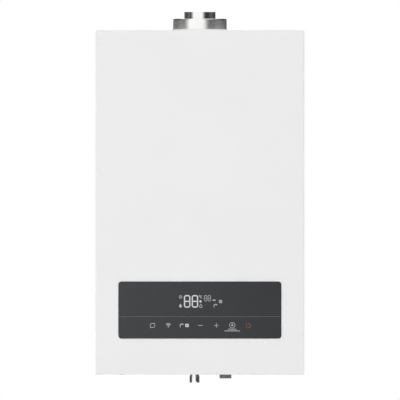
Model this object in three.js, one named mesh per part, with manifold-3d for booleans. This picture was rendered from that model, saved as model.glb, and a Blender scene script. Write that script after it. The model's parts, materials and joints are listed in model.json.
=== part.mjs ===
// Wall-hung combi boiler: a gas boiler that heats radiators and tap water in one
// casing. Millimetres, +Z up, +X right, front towards -Y. Heights are measured from
// the casing's lower edge; the last lines put the origin on the wall, at the centre
// of the hanging bracket.
import * as THREE from 'three';
import { mergeVertices } from 'three/addons/utils/BufferGeometryUtils.js';
import Module from 'manifold-3d';

const wasm = await Module();
wasm.setup();

// ---- casing -----------------------------------------------------------------
const casingWidth = 400;
const casingHeight = 660;
const casingDepth = 280; // wall to the cover's front face
const sheet = 1.2; // steel sheet of the casing, its frames and the chamber
const slip = 0.3; // clearance between pieces that sit on each other
const panelJoint = 2; // gap between the cover and the panels behind it
const coverReturn = 30; // depth of the cover's folded edges
const coverEdge = 1.6; // radius of the cover's folded edges
const coverLip = 16; // hook lip hanging from the cover's top edge
const coverTilt = 20; // degrees that the cover swings on its hooks
const flangeWidth = 12; // folded edges of the side panels and the chamber
const wallStandoff = 12; // wall to the rear frame's web
const bracketSheet = 2; // thickness of the hanging bracket and its hooks
const bracketWidth = 300;
const bracketHeight = 38; // flat part of the bracket
const bracketLip = 10; // upright lip that carries the hooks
const hangHeight = 600; // casing's lower edge to the bracket's centre
const hookWidth = 40;
const hookSpacing = 160; // between the hooks' centres
const baseRecess = 28; // base plate above the casing's lower edge
const screwRadius = 2; // cover screws
const screwHeadRadius = 4.3;
const screwLength = 12;
const screwSpacing = 300;

// ---- control panel ----------------------------------------------------------
const glassWidth = 312;
const glassHeight = 109;
const glassBottom = 69.4; // lower edge of the glass above the casing's edge
const glassCorner = 5.5;
const glassThickness = 3;
const glassProud = 0.6; // glass in front of the cover's face
const keyLine = 41.8; // engraved line above the glass's lower edge
const keyLineWidth = 0.8;
const keyCount = 7;
const keyPitch = 30.65;
const keyHeight = 25.1; // row of keys above the glass's lower edge
const keyPadRadius = 6;
const displayWidth = 96;
const displayHeight = 42;
const displayRise = 49; // display window above the glass's lower edge
const carrierMargin = 10; // carrier frame beyond the glass
const carrierWall = 2;
const carrierDepth = 18;
const boardThickness = 1.6;
const controlBoxWidth = 300;
const controlBoxHeight = 134;
const controlBoxDepth = 44;
const controlBoxBottom = 62;

// ---- flue -------------------------------------------------------------------
const flueFromWall = 164; // flue axis to the wall
const collarRadius = 51.5; // outside of the air socket
const collarWall = 1.5;
const collarRise = 21.5; // socket above the casing
const collarFlange = 12; // flange under the top panel
const gasketThickness = 1.2;
const exhaustRadius = 30; // outside of the exhaust tube
const exhaustWall = 1.5;
const exhaustRise = 34.1; // exhaust tube above the casing

// ---- sealed chamber and burner ----------------------------------------------
const chamberWidth = 360;
const chamberBack = 90; // wall to the chamber's back
const chamberFront = 238; // wall to the chamber's front flange
const chamberBottom = 225;
const lidEmboss = 4; // pressed field in the chamber's lid
const sightGlassRadius = 11;
const stackWidth = 244; // combustion chamber and exchanger, outside
const stackDepth = 118;
const skirtBottom = 262; // lower edge of the combustion chamber
const liningBottom = 290;
const exchangerBottom = 398.3;
const exchangerHeight = 64;
const liningThickness = 12;
const burnerRamps = 9;
const rampPitch = 23;
const rampThickness = 11;
const rampTop = 285;
const rampBottom = 244;
const nozzleRadius = 3;
const electrodeRadius = 2.2;
const finCount = 9;
const finThickness = 1.6;
const tubeCount = 3;
const tubePitch = 36;
const tubeRadius = 9;

// ---- fan --------------------------------------------------------------------
const fanHeight = 575; // fan axis
const fanOffset = 42; // fan axis left of the flue axis
const scrollSmall = 54; // scroll radius at the tongue
const fanWall = 1.5;
const fanDepth = 60;
const fanTop = 642;
const spigotLength = 10;
const impellerRadius = 45;
const impellerDepth = 36;
const fanBlades = 8;
const fanInletRadius = 28;
const fanMotorRadius = 36;
const fanMotorDepth = 38;
const shaftRadius = 4;

// ---- water and gas ----------------------------------------------------------
const pipeFromWall = 85; // connection stubs to the wall
const pipePitch = 65; // between neighbouring connections
const gasOffset = -10.4; // gas connection left of the centre line
const gasDrop = 14.9; // gas stub below the casing's edge
const gasStubRadius = 9.55;
const gasPipeRadius = 8.7;
const stubEnd = 4; // water stubs end this far above the casing's edge
const heatingStubRadius = 12;
const tapStubRadius = 9.6;
const pipeRadius = 8; // copper pipes of the heating circuit
const gasRiserRadius = 7;
const bendRadius = 15;
const nutFlats = 15; // half the width across a union nut
const nutHeight = 14;
const pumpX = 112;
const pumpZ = 140;
const volutePumpRadius = 50;
const pumpBack = 100; // wall to the pump's back face
const voluteDepth = 38;
const pumpMotorRadius = 40;
const pumpMotorDepth = 54;
const pumpBlades = 5;
const pumpWheelRadius = 34;
const ventRadius = 11;
const ventCapRadius = 7;
const vesselRadius = 160;
const vesselThickness = 74;
const vesselHeight = 410; // centre of the expansion vessel
const plateCount = 8;
const platePitch = 5;
const plateWidth = 192;
const plateHeight = 72;
const plateCorner = 18;
const plateBottom = 80;
const plateGap = 6; // rear frame to the plate exchanger
const blockBack = 4; // plate exchanger to the valve blocks
const diverterTravel = 6;
const stemRadius = 4;
const knobX = 49.2; // filling knob
const knobFromWall = 137;
const knobRadius = 11.5;
const knobDrop = 6.9; // knob below the casing's edge
const knobFlutes = 14;
const reliefKnobRadius = 12;
const turbineRadius = 7.5;

// ---- derived places ---------------------------------------------------------
const halfWidth = casingWidth / 2;
const frontFace = -casingDepth;
const coverBack = frontFace + coverReturn;
const panelFront = coverBack + panelJoint;
const webFront = -wallStandoff - sheet;
const roof = casingHeight - sheet; // underside of the top panel
const insideWidth = halfWidth - sheet - slip; // reach of what fits between the side panels
const glassCentre = glassBottom + glassHeight / 2;
const stackCentre = -flueFromWall;
const stackHalf = stackWidth / 2;
const stackFront = stackCentre - stackDepth / 2;
const stackBack = stackCentre + stackDepth / 2;
const stubs = [-2, -1, 0, 1, 2].map((step) => gasOffset + step * pipePitch);
const [flowX, tapX, gasX, coldX, returnX] = stubs;
const pipeY = -pipeFromWall;
const exchangerTubes = Array.from({ length: tubeCount }, (_, i) => {
  return stackCentre + ((tubeCount - 1) / 2 - i) * tubePitch;
});
const tubeHeight = exchangerBottom + exchangerHeight / 2;

// ---- shaping ----------------------------------------------------------------
// A closed triangle mesh as a solid with its faces turned outwards.
function solid(geometry) {
  const bare = geometry.clone();
  bare.deleteAttribute('normal');
  bare.deleteAttribute('uv');
  const merged = mergeVertices(bare);
  const points = merged.attributes.position;
  const corners = [];
  for (let i = 0; i < merged.index.count; i += 3) {
    const [a, b, c] = [0, 1, 2].map((k) => merged.index.getX(i + k));
    if (a !== b && b !== c && c !== a) corners.push(a, b, c);
  }
  const [p, q, r] = [new THREE.Vector3(), new THREE.Vector3(), new THREE.Vector3()];
  let volume = 0;
  for (let i = 0; i < corners.length; i += 3) {
    p.fromBufferAttribute(points, corners[i]);
    q.fromBufferAttribute(points, corners[i + 1]);
    r.fromBufferAttribute(points, corners[i + 2]);
    volume += p.dot(q.cross(r));
  }
  if (volume < 0) corners.reverse();
  const mesh = new wasm.Mesh({
    numProp: 3,
    vertProperties: new Float32Array(points.array),
    triVerts: new Uint32Array(corners),
  });
  return new wasm.Manifold(mesh);
}

function join(first, ...others) {
  return others.reduce((whole, other) => whole.add(other), first);
}

function cut(body, ...tools) {
  return tools.reduce((rest, tool) => rest.subtract(tool), body);
}

function block(x0, x1, y0, y1, z0, z1) {
  const geometry = new THREE.BoxGeometry(x1 - x0, y1 - y0, z1 - z0);
  return solid(geometry.translate((x0 + x1) / 2, (y0 + y1) / 2, (z0 + z1) / 2));
}

function polygon(points) {
  return new THREE.Shape(points.map(([u, v]) => new THREE.Vector2(u, v)));
}

function ring(radius, sides, turn = 0) {
  return polygon(Array.from({ length: sides }, (_, i) => {
    const angle = turn + (i / sides) * 2 * Math.PI;
    return [radius * Math.cos(angle), radius * Math.sin(angle)];
  }));
}

function roundedRectangle(width, height, radius, u = 0, v = 0) {
  const [a, b] = [width / 2 - radius, height / 2 - radius];
  const shape = new THREE.Shape();
  shape.absarc(u + a, v - b, radius, -Math.PI / 2, 0);
  shape.absarc(u + a, v + b, radius, 0, Math.PI / 2);
  shape.absarc(u - a, v + b, radius, Math.PI / 2, Math.PI);
  shape.absarc(u - a, v - b, radius, Math.PI, 1.5 * Math.PI);
  return shape;
}

// A sheet folded along a line of bends, as an outline with mitred corners.
function folded(line, thickness) {
  const bends = line.map(([u, v]) => new THREE.Vector2(u, v));
  const sides = [[], []];
  bends.forEach((bend, i) => {
    const before = bend.clone().sub(bends[Math.max(i - 1, 0)]).normalize();
    const after = bends[Math.min(i + 1, bends.length - 1)].clone().sub(bend).normalize();
    const along = before.clone().add(after).normalize();
    const across = new THREE.Vector2(-along.y, along.x);
    const straight = i === 0 ? after : before;
    const reach = thickness / 2 / along.dot(straight);
    sides[0].push(bend.clone().addScaledVector(across, reach));
    sides[1].unshift(bend.clone().addScaledVector(across, -reach));
  });
  return new THREE.Shape([...sides[0], ...sides[1]]);
}

// An outline pushed along an axis. Its own axes are (y, z) along 'x', (x, z) along
// 'y' and (x, y) along 'z'.
function prism(axis, outline, from, to, curveSegments = 2) {
  const options = { depth: to - from, bevelEnabled: false, curveSegments };
  const geometry = new THREE.ExtrudeGeometry(outline, options);
  if (axis === 'x') {
    geometry.rotateX(Math.PI / 2).rotateZ(Math.PI / 2).translate(from, 0, 0);
  } else if (axis === 'y') {
    geometry.rotateX(Math.PI / 2).translate(0, to, 0);
  } else {
    geometry.translate(0, 0, from);
  }
  return solid(geometry);
}

// A profile of [radius, place along the axis] points turned round an axis through
// (a, b): (y, z) for 'x', (x, z) for 'y' and (x, y) for 'z'.
function turned(axis, profile, a, b, sides = 16) {
  const points = profile.map(([radius, along]) => new THREE.Vector2(radius, along));
  if (profile[0][0] > 0) points.push(points[0].clone());
  const geometry = new THREE.LatheGeometry(points, sides);
  if (axis === 'x') geometry.rotateZ(-Math.PI / 2).translate(0, a, b);
  if (axis === 'y') geometry.translate(a, 0, b);
  if (axis === 'z') geometry.rotateX(Math.PI / 2).translate(a, b, 0);
  return solid(geometry);
}

function rod(axis, radius, from, to, a, b, sides = 10) {
  return turned(axis, [[0, from], [radius, from], [radius, to], [0, to]], a, b, sides);
}

// The radius of a many-sided bore whose flats clear a shaft.
function boreFor(radius, sides = 10) {
  return (radius + slip) / Math.cos(Math.PI / sides);
}

function hexagon(axis, flats, from, to, a, b) {
  return rod(axis, flats / Math.cos(Math.PI / 6), from, to, a, b, 6);
}

// A skin over rings of points, closed at both ends.
function loft(rings) {
  const count = rings[0].length;
  const corners = [];
  for (let level = 0; level + 1 < rings.length; level += 1) {
    for (let i = 0; i < count; i += 1) {
      const [a, b] = [level * count + i, level * count + ((i + 1) % count)];
      corners.push(a, b, b + count, a, b + count, a + count);
    }
  }
  const last = (rings.length - 1) * count;
  for (let i = 1; i + 1 < count; i += 1) {
    corners.push(0, i + 1, i, last, last + i, last + i + 1);
  }
  const geometry = new THREE.BufferGeometry();
  geometry.setAttribute('position', new THREE.Float32BufferAttribute(rings.flat(2), 3));
  return solid(geometry.setIndex(corners));
}

// A rectangle with its corners cut off, centred on (u, v).
function clippedRectangle(width, height, clip, u, v) {
  const [a, b] = [width / 2, height / 2];
  const corners = [[a, clip - b], [a, b - clip], [a - clip, b], [clip - a, b]];
  const opposite = corners.map(([p, q]) => [-p, -q]);
  return polygon([...corners, ...opposite].map(([p, q]) => [u + p, v + q]));
}

function level(x0, x1, y0, y1, z) {
  return [[x0, y0, z], [x1, y0, z], [x1, y1, z], [x0, y1, z]];
}

// A pipe's centre line: straight runs between corners, joined by round bends.
class PipeRoute extends THREE.Curve {
  constructor(corners, radius) {
    super();
    const points = corners.map(([x, y, z]) => new THREE.Vector3(x, y, z));
    const directions = points.slice(1).map((p, i) => p.clone().sub(points[i]).normalize());
    this.stations = [{ point: points[0], tangent: directions[0] }];
    for (let i = 1; i + 1 < points.length; i += 1) {
      this.addBend(points[i], directions[i - 1], directions[i], radius);
    }
    this.stations.push({ point: points.at(-1), tangent: directions.at(-1) });
  }

  addBend(corner, into, out, radius) {
    const turn = into.angleTo(out);
    const setback = radius * Math.tan(turn / 2);
    const start = corner.clone().addScaledVector(into, -setback);
    const inward = out.clone().addScaledVector(into, -out.dot(into)).normalize();
    const steps = Math.ceil(turn / (Math.PI / 6));
    for (let k = 0; k <= steps; k += 1) {
      const angle = (turn * k) / steps;
      const point = start.clone().addScaledVector(into, radius * Math.sin(angle));
      point.addScaledVector(inward, radius * (1 - Math.cos(angle)));
      const tangent = into.clone().multiplyScalar(Math.cos(angle));
      tangent.addScaledVector(inward, Math.sin(angle));
      this.stations.push({ point, tangent });
    }
  }

  station(u) {
    return this.stations[Math.round(u * (this.stations.length - 1))];
  }

  getPointAt(u) {
    return this.station(u).point.clone();
  }

  getTangentAt(u) {
    return this.station(u).tangent.clone();
  }
}

function pipe(corners, radius, bend = bendRadius, sides = 8) {
  const extrudePath = new PipeRoute(corners, bend);
  const steps = extrudePath.stations.length - 1;
  return solid(new THREE.ExtrudeGeometry(ring(radius, sides), { steps, extrudePath }));
}

// A wheel of swept blades between a disc and a shroud, turning about 'y' through (x, z).
function bladedWheel({ x, z, back, front, disc, hub, inner, outer, blades, sweep, thickness, sides }) {
  const parts = [rod('y', outer, front, front + disc, x, z, sides)];
  parts.push(rod('y', hub, front, back - disc, x, z, 8));
  const steps = 2;
  for (let i = 0; i < blades; i += 1) {
    const edges = [[], []];
    for (let k = 0; k <= steps; k += 1) {
      const radius = inner + ((outer - inner) * k) / steps;
      const angle = (i / blades) * 2 * Math.PI + (sweep * k) / steps;
      const half = thickness / 2 / radius;
      edges[0].push([x + radius * Math.cos(angle - half), z + radius * Math.sin(angle - half)]);
      edges[1].unshift([x + radius * Math.cos(angle + half), z + radius * Math.sin(angle + half)]);
    }
    parts.push(prism('y', polygon([...edges[0], ...edges[1]]), front + disc / 2, back - disc / 2));
  }
  parts.push(turned('y', [
    [inner, back - disc], [outer, back - disc], [outer, back], [inner, back],
  ], x, z, sides));
  return join(...parts);
}

const boiler = new THREE.Group();

function add(name, body, color, roughness = 0.5, metalness = 0) {
  const { vertProperties, triVerts, numProp } = body.getMesh();
  const geometry = new THREE.BufferGeometry();
  const points = new Float32Array((vertProperties.length / numProp) * 3);
  for (let i = 0; i < points.length / 3; i += 1) {
    points.set(vertProperties.subarray(i * numProp, i * numProp + 3), i * 3);
  }
  geometry.setAttribute('position', new THREE.BufferAttribute(points, 3));
  geometry.setIndex(new THREE.BufferAttribute(new Uint32Array(triVerts), 1));
  geometry.computeVertexNormals();
  const material = new THREE.MeshStandardMaterial({ color, roughness, metalness });
  const mesh = new THREE.Mesh(geometry, material);
  mesh.name = name;
  boiler.add(mesh);
}

const white = 0xebebeb;
const zinc = 0xb9bdc0;
const steel = 0xc9cbcc;
const copper = 0xb87350;
const brass = 0xc4a15a;
const black = 0x1b1c1e;
const darkGrey = 0x3b3d40;
const red = 0xb02a26;

// ---- wall bracket and rear frame --------------------------------------------
const bracketTop = hangHeight + bracketHeight / 2;
const lipY = -(wallStandoff - 1.5 * bracketSheet);
const lipFoot = bracketTop + (Math.abs(lipY) - bracketSheet / 2);
const lipTop = lipFoot + bracketLip;

function wallBracket() {
  const wallLeg = -bracketSheet / 2;
  const line = [
    [wallLeg, hangHeight - bracketHeight / 2], [wallLeg, bracketTop],
    [lipY, lipFoot], [lipY, lipTop],
  ];
  const plate = prism('x', folded(line, bracketSheet), -bracketWidth / 2, bracketWidth / 2);
  const slotWidth = 18;
  const slotHeight = 8;
  const slots = [-0.4, -0.2, 0.2, 0.4].map((share) => {
    const radius = slotHeight / 2 - 0.1;
    const outline = roundedRectangle(slotWidth, slotHeight, radius, share * bracketWidth, hangHeight);
    return prism('y', outline, -2 * bracketSheet, bracketSheet, 1);
  });
  return cut(plate, ...slots);
}

function rearFrame() {
  const side = insideWidth - sheet / 2;
  const web = -wallStandoff - sheet / 2;
  const pan = folded([[-side, 0], [-side, web], [side, web], [side, 0]], sheet);
  const frameTop = roof - flangeWidth;
  let frame = prism('z', pan, stubEnd, frameTop);
  const hookZ = lipTop + slip + bracketSheet / 2;
  const hookY = -2.5 * bracketSheet;
  const tongue = folded([[web, hookZ], [hookY, hookZ], [hookY, lipFoot + slip]], bracketSheet);
  for (const centre of [-hookSpacing / 2, hookSpacing / 2]) {
    const [x0, x1] = [centre - hookWidth / 2, centre + hookWidth / 2];
    frame = cut(frame, block(x0, x1, web - sheet, -wallStandoff / 2, lipFoot, hookZ));
    frame = join(frame, prism('x', tongue, x0, x1));
  }
  return frame;
}

add('wall_bracket', wallBracket(), zinc, 0.45, 0.8);
add('rear_frame', rearFrame(), zinc, 0.45, 0.8);

// ---- side, top and bottom ---------------------------------------------------
function sidePanel(side) {
  const web = side * (halfWidth - sheet / 2);
  const front = panelFront + sheet / 2;
  const edge = side * (halfWidth - sheet - flangeWidth);
  return prism('z', folded([[web, 0], [web, front], [edge, front]], sheet), 0, roof);
}

const railReach = halfWidth - sheet - flangeWidth - 4 * sheet;
const lipBottom = casingHeight - coverLip;
const gutterFloor = lipBottom - 3;
const lipSwing = coverLip * Math.sin(THREE.MathUtils.degToRad(coverTilt));

function topPanel() {
  const lid = block(-halfWidth, halfWidth, panelFront, 0, roof, casingHeight);
  const edges = [-1, 1].map((side) => {
    const [inner, outer] = [insideWidth - sheet, insideWidth].map((x) => side * x);
    const [x0, x1] = [Math.min(inner, outer), Math.max(inner, outer)];
    return block(x0, x1, panelFront + 8, webFront - 3, roof - 10, roof + sheet / 2);
  });
  const web = panelFront + sheet / 2;
  const wall = coverBack - 2 * sheet - lipSwing - sheet;
  const gutter = folded([
    [web, roof + sheet / 2], [web, gutterFloor], [wall, gutterFloor], [wall, gutterFloor + 10],
  ], sheet);
  const hole = rod('z', boreFor(collarRadius, 32), roof - 1, casingHeight + 1, 0, -flueFromWall, 32);
  return cut(join(lid, ...edges, prism('x', gutter, -railReach, railReach)), hole);
}

const screwY = coverBack - 7;
const tabZ = 4;

function basePlate() {
  const back = webFront - slip;
  const front = panelFront + sheet + slip;
  const [low, high] = [baseRecess, baseRecess + sheet];
  const floor = block(-insideWidth, insideWidth, front, back, low, high);
  const fold = front + sheet / 2;
  const line = [[front + 10, low + sheet / 2], [fold, low + sheet / 2], [fold, tabZ], [screwY - 6, tabZ]];
  const rail = prism('x', folded(line, sheet), -railReach, railReach);
  const slot = screwRadius + slip;
  const slots = [-1, 1].map((side) => {
    const x = (side * screwSpacing) / 2;
    return block(x - slot, x + slot, screwY - 10, screwY + slot, tabZ - 2, tabZ + 2);
  });
  const passages = [
    [flowX, pipeY, heatingStubRadius], [tapX, pipeY, tapStubRadius],
    [gasX, pipeY, gasPipeRadius], [coldX, pipeY, tapStubRadius],
    [returnX, pipeY, heatingStubRadius], [knobX, -knobFromWall, stemRadius],
    [glandX, glandY, glandRadius],
  ];
  const holes = passages.map(([x, y, radius]) => {
    return rod('z', boreFor(radius), low - 1, high + 1, x, y);
  });
  return cut(join(floor, rail), ...slots, ...holes);
}

const glandX = 158;
const glandY = -60;
const glandRadius = 8;

// The inlet for the mains lead: a hexagon body, its neck and the nut above the plate.
function cableGland() {
  const [low, high] = [baseRecess, baseRecess + sheet];
  const domeEnd = low - 16;
  const dome = turned('z', [
    [0, domeEnd], [7, domeEnd], [10, domeEnd + 6], [10, low - 8], [0, low - 8],
  ], glandX, glandY, 12);
  const body = hexagon('z', 11, low - 8, low - slip, glandX, glandY);
  const neck = rod('z', glandRadius, low - 1, high + 6, glandX, glandY);
  const nut = hexagon('z', 11, high + slip, high + 5, glandX, glandY);
  const bore = rod('z', 4, domeEnd - 1, high + 7, glandX, glandY);
  return cut(join(dome, body, neck, nut), bore);
}

add('left_side_panel', sidePanel(-1), white, 0.4);
add('right_side_panel', sidePanel(1), white, 0.4);
add('top_panel', topPanel(), white, 0.4);
add('base_plate', basePlate(), zinc, 0.45, 0.8);
add('cable_gland', cableGland(), black, 0.6);

// ---- front cover ------------------------------------------------------------
function coverRing(inset, y) {
  const corner = coverEdge + 0.6;
  const outline = roundedRectangle(
    casingWidth - 2 * inset, casingHeight - 2 * inset, corner - inset, 0, casingHeight / 2,
  );
  return outline.getPoints(1).slice(0, -1).map(({ x, y: z }) => [x, y, z]);
}

function glassOutline(margin) {
  return roundedRectangle(
    glassWidth + 2 * margin, glassHeight + 2 * margin, glassCorner + margin, 0, glassCentre,
  );
}

function frontCover() {
  const half = Math.SQRT1_2;
  const outside = loft([
    coverRing(coverEdge, frontFace),
    coverRing(coverEdge * (1 - half), frontFace + coverEdge * (1 - half)),
    coverRing(0, frontFace + coverEdge),
    coverRing(0, coverBack),
  ]);
  const [side, inner] = [halfWidth - sheet, frontFace + sheet];
  const hollow = block(-side, side, inner, coverBack + 1, sheet, roof);
  const lip = block(-railReach + 4, railReach - 4, coverBack - sheet, coverBack, lipBottom, roof + sheet / 2);
  const window = prism('y', glassOutline(slip), frontFace - 1, inner + 1);
  const [head, shank] = [screwHeadRadius + slip, screwRadius + slip];
  const holes = [-1, 1].map((end) => turned('z', [
    [0, -1], [head, -1], [head, 0], [shank, sheet], [shank, sheet + 1], [0, sheet + 1],
  ], (end * screwSpacing) / 2, screwY, 12));
  return cut(join(cut(outside, hollow), lip), window, ...holes);
}

function coverScrew(end) {
  const socket = hexagon('z', 1.5, -1, 1, (end * screwSpacing) / 2, screwY);
  const screw = turned('z', [
    [0, 0], [screwHeadRadius, 0], [screwRadius, sheet], [screwRadius, screwLength - 1],
    [screwRadius - 1, screwLength], [0, screwLength],
  ], (end * screwSpacing) / 2, screwY, 12);
  return cut(screw, socket);
}

add('front_cover', frontCover(), white, 0.35);
add('cover_screw_left', coverScrew(-1), steel, 0.35, 0.9);
add('cover_screw_right', coverScrew(1), steel, 0.35, 0.9);

// ---- control panel on the cover ---------------------------------------------
const glassBack = frontFace - glassProud + glassThickness;
const pocketFloor = glassBack + slip;
const carrierFront = frontFace + sheet + slip;
const carrierFace = pocketFloor + carrierWall;
const displayZ = glassBottom + displayRise + displayHeight / 2;
const keys = Array.from({ length: keyCount }, (_, i) => {
  return [(i - (keyCount - 1) / 2) * keyPitch, glassBottom + keyHeight];
});

function controlGlass() {
  const plate = prism('y', glassOutline(0), frontFace - glassProud, glassBack);
  const [z, half] = [glassBottom + keyLine, keyLineWidth / 2];
  const groove = block(-glassWidth, glassWidth, frontFace - 1, frontFace - glassProud + slip, z - half, z + half);
  return cut(plate, groove);
}

function controlCarrier() {
  const outside = prism('y', glassOutline(carrierMargin), carrierFront, carrierFront + carrierDepth, 1);
  const pocket = prism('y', glassOutline(slip), carrierFront - 1, pocketFloor);
  const hollow = prism('y', glassOutline(carrierMargin - carrierWall), carrierFace, carrierFront + carrierDepth + 1, 1);
  const view = [displayWidth / 2 + slip, displayHeight / 2 + slip];
  const window = block(-view[0], view[0], pocketFloor - 1, carrierFace + 1, displayZ - view[1], displayZ + view[1]);
  const holes = keys.map(([x, z]) => {
    return rod('y', boreFor(keyPadRadius, 8), pocketFloor - 1, carrierFace + 1, x, z, 8);
  });
  return cut(outside, pocket, hollow, window, ...holes);
}

// The circuit board behind the glass, with its display and a sensing pad for each key.
function displayBoard() {
  const back = carrierFace + slip + boardThickness;
  const edge = carrierMargin + 4;
  const board = block(
    edge - glassWidth / 2, glassWidth / 2 - edge, carrierFace + slip, back,
    glassBottom + edge / 2, glassBottom + glassHeight - edge / 2,
  );
  const [w, h] = [displayWidth / 2, displayHeight / 2];
  const display = block(-w, w, pocketFloor, back, displayZ - h, displayZ + h);
  const pads = keys.map(([x, z]) => rod('y', keyPadRadius, pocketFloor, back, x, z, 8));
  return join(board, display, ...pads);
}

add('control_glass', controlGlass(), 0x3f4143, 0.12);
add('control_carrier', controlCarrier(), darkGrey, 0.6);
add('display_board', displayBoard(), 0x1f5a3a, 0.6);

// ---- control box behind the cover -------------------------------------------
const boxFront = panelFront + sheet + slip + 2.5;
const boxBack = boxFront + controlBoxDepth;
const boxWall = 2;
const boxCentre = controlBoxBottom + controlBoxHeight / 2;
const boardSeat = boxBack - boxWall - 6;

function boxOutline(inset) {
  return roundedRectangle(
    controlBoxWidth - 2 * inset, controlBoxHeight - 2 * inset, 8 - inset, 0, boxCentre,
  );
}

function controlBox() {
  const outside = prism('y', boxOutline(0), boxFront, boxBack, 1);
  const hollow = prism('y', boxOutline(boxWall), boxFront - 1, boxBack - boxWall, 1);
  const ears = [-1, 1].map((side) => {
    const reach = [side * (controlBoxWidth / 2 - 1), side * insideWidth].sort((a, b) => a - b);
    return block(...reach, boxFront + 4, boxFront + 8, controlBoxBottom + 10, controlBoxBottom + 42);
  });
  const posts = [-1, 1].flatMap((side) => [-1, 1].map((end) => {
    const [x, z] = [side * (controlBoxWidth / 2 - 20), boxCentre + end * (controlBoxHeight / 2 - 18)];
    return rod('y', 4, boardSeat, boxBack - 1, x, z, 8);
  }));
  const vents = Array.from({ length: 6 }, (_, i) => {
    const x = (i - 2.5) * 16;
    const top = controlBoxBottom + controlBoxHeight;
    return block(x - 2.5, x + 2.5, boxFront + 14, boxBack - 10, top - boxWall - 1, top + 1);
  });
  return cut(join(cut(outside, hollow), ...ears, ...posts), ...vents);
}

function controlBoxLid() {
  const plate = prism('y', boxOutline(0), boxFront - slip - boxWall, boxFront - slip, 1);
  const rim = prism('y', boxOutline(boxWall + slip), boxFront - 1, boxFront + 6, 1);
  const inside = prism('y', boxOutline(2 * boxWall + slip), boxFront - slip, boxFront + 7, 1);
  return cut(join(plate, rim), inside);
}

// The main circuit board with its transformer, relays, capacitors and terminals.
function mainBoard() {
  const [back, front] = [boardSeat - slip, boardSeat - slip - boardThickness];
  const [w, h] = [controlBoxWidth / 2 - 12, controlBoxHeight / 2 - 10];
  const board = block(-w, w, front, back, boxCentre - h, boxCentre + h);
  const transformer = block(-w + 12, -w + 52, front - 26, back, boxCentre, boxCentre + 40);
  const relays = [0, 1, 2, 3].map((i) => {
    const x = -40 + i * 24;
    return block(x, x + 18, front - 15, back, boxCentre + 20, boxCentre + 46);
  });
  const capacitors = [0, 1, 2].map((i) => rod('y', 7, front - 20, back, -30 + i * 22, boxCentre - 6, 8));
  const terminals = Array.from({ length: 5 }, (_, i) => {
    const x = -w + 14 + i * 34;
    return block(x, x + 26, front - 12, back, boxCentre - h + 4, boxCentre - h + 18);
  });
  return join(board, transformer, ...relays, ...capacitors, ...terminals);
}

add('control_box', controlBox(), darkGrey, 0.65);
add('control_box_lid', controlBoxLid(), darkGrey, 0.65);
add('main_board', mainBoard(), 0x1f5a3a, 0.6);

// ---- flue -------------------------------------------------------------------
const gasketTop = roof - slip;
const flangeTop = gasketTop - gasketThickness - slip;

// The air socket: a sheet-metal ring pushed up through the top panel on its flange.
function flueCollar() {
  const top = casingHeight + collarRise;
  const inner = collarRadius - collarWall;
  return turned('z', [
    [inner, flangeTop - collarWall], [collarRadius + collarFlange, flangeTop - collarWall],
    [collarRadius + collarFlange, flangeTop], [collarRadius, flangeTop],
    [collarRadius, top - 0.6], [collarRadius - 0.6, top], [inner, top],
  ], 0, -flueFromWall, 32);
}

function flueGasket() {
  const inner = boreFor(collarRadius, 24);
  const outer = collarRadius + collarFlange;
  const bottom = gasketTop - gasketThickness;
  const outline = [[inner, bottom], [outer, bottom], [outer, gasketTop], [inner, gasketTop]];
  return turned('z', outline, 0, -flueFromWall, 24);
}

function flueInnerTube() {
  const top = casingHeight + exhaustRise;
  const inner = exhaustRadius - exhaustWall;
  const bottom = fanTop + slip;
  return turned('z', [
    [inner, bottom], [exhaustRadius, bottom], [exhaustRadius, top - 0.5],
    [exhaustRadius - 0.5, top], [inner, top],
  ], 0, -flueFromWall, 32);
}

add('flue_collar', flueCollar(), steel, 0.22, 1);
add('flue_collar_gasket', flueGasket(), black, 0.8);
add('flue_inner_tube', flueInnerTube(), steel, 0.22, 1);

// ---- sealed chamber ---------------------------------------------------------
const riserLeft = -158;
const riserRight = 150;
const manifoldY = stackFront - 7;
const manifoldBottom = rampBottom + 6;
const manifoldTop = manifoldBottom + 12;
const returnTubeY = exchangerTubes[0];
const flowTubeY = exchangerTubes.at(-1);

function chamberBox() {
  const wall = chamberWidth / 2 - sheet / 2;
  const back = -chamberBack - sheet / 2;
  const front = sheet / 2 - chamberFront;
  const outline = folded([
    [-wall - flangeWidth, front], [-wall, front], [-wall, back],
    [wall, back], [wall, front], [wall + flangeWidth, front],
  ], sheet);
  const walls = prism('z', outline, chamberBottom, roof);
  const floor = block(
    -insideWidth, insideWidth, -chamberFront, -chamberBack, chamberBottom, chamberBottom + sheet,
  );
  const holes = [
    [gasX, manifoldY, gasRiserRadius], [riserLeft, flowTubeY, pipeRadius],
    [riserRight, returnTubeY, pipeRadius],
  ].map(([x, y, radius]) => {
    return rod('z', boreFor(radius), chamberBottom - 1, chamberBottom + sheet + 1, x, y);
  });
  return cut(join(walls, floor), ...holes);
}

const lidBack = -chamberFront - slip;
const lidFront = lidBack - sheet;
const sightZ = (rampTop + exchangerBottom) / 2 - 20;

function lidField(inset, y) {
  const side = chamberWidth / 2 - 14 - inset;
  const [low, high] = [chamberBottom + 22 + inset, roof - 28 - inset];
  return [[-side, y, low], [side, y, low], [side, y, high], [-side, y, high]];
}

function chamberLid() {
  const side = chamberWidth / 2 + flangeWidth;
  const plate = block(-side, side, lidFront, lidBack, chamberBottom - 10, roof - 2);
  const raised = loft([lidField(0, lidFront + 0.1), lidField(2 * lidEmboss, lidFront - lidEmboss)]);
  const pressed = loft([
    lidField(sheet, lidBack + 0.1), lidField(2 * lidEmboss + sheet, lidFront - lidEmboss + sheet),
  ]);
  const hole = rod('y', boreFor(sightGlassRadius), lidFront - 10, lidBack + 1, 0, sightZ);
  return cut(join(plate, raised), pressed, hole);
}

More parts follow.
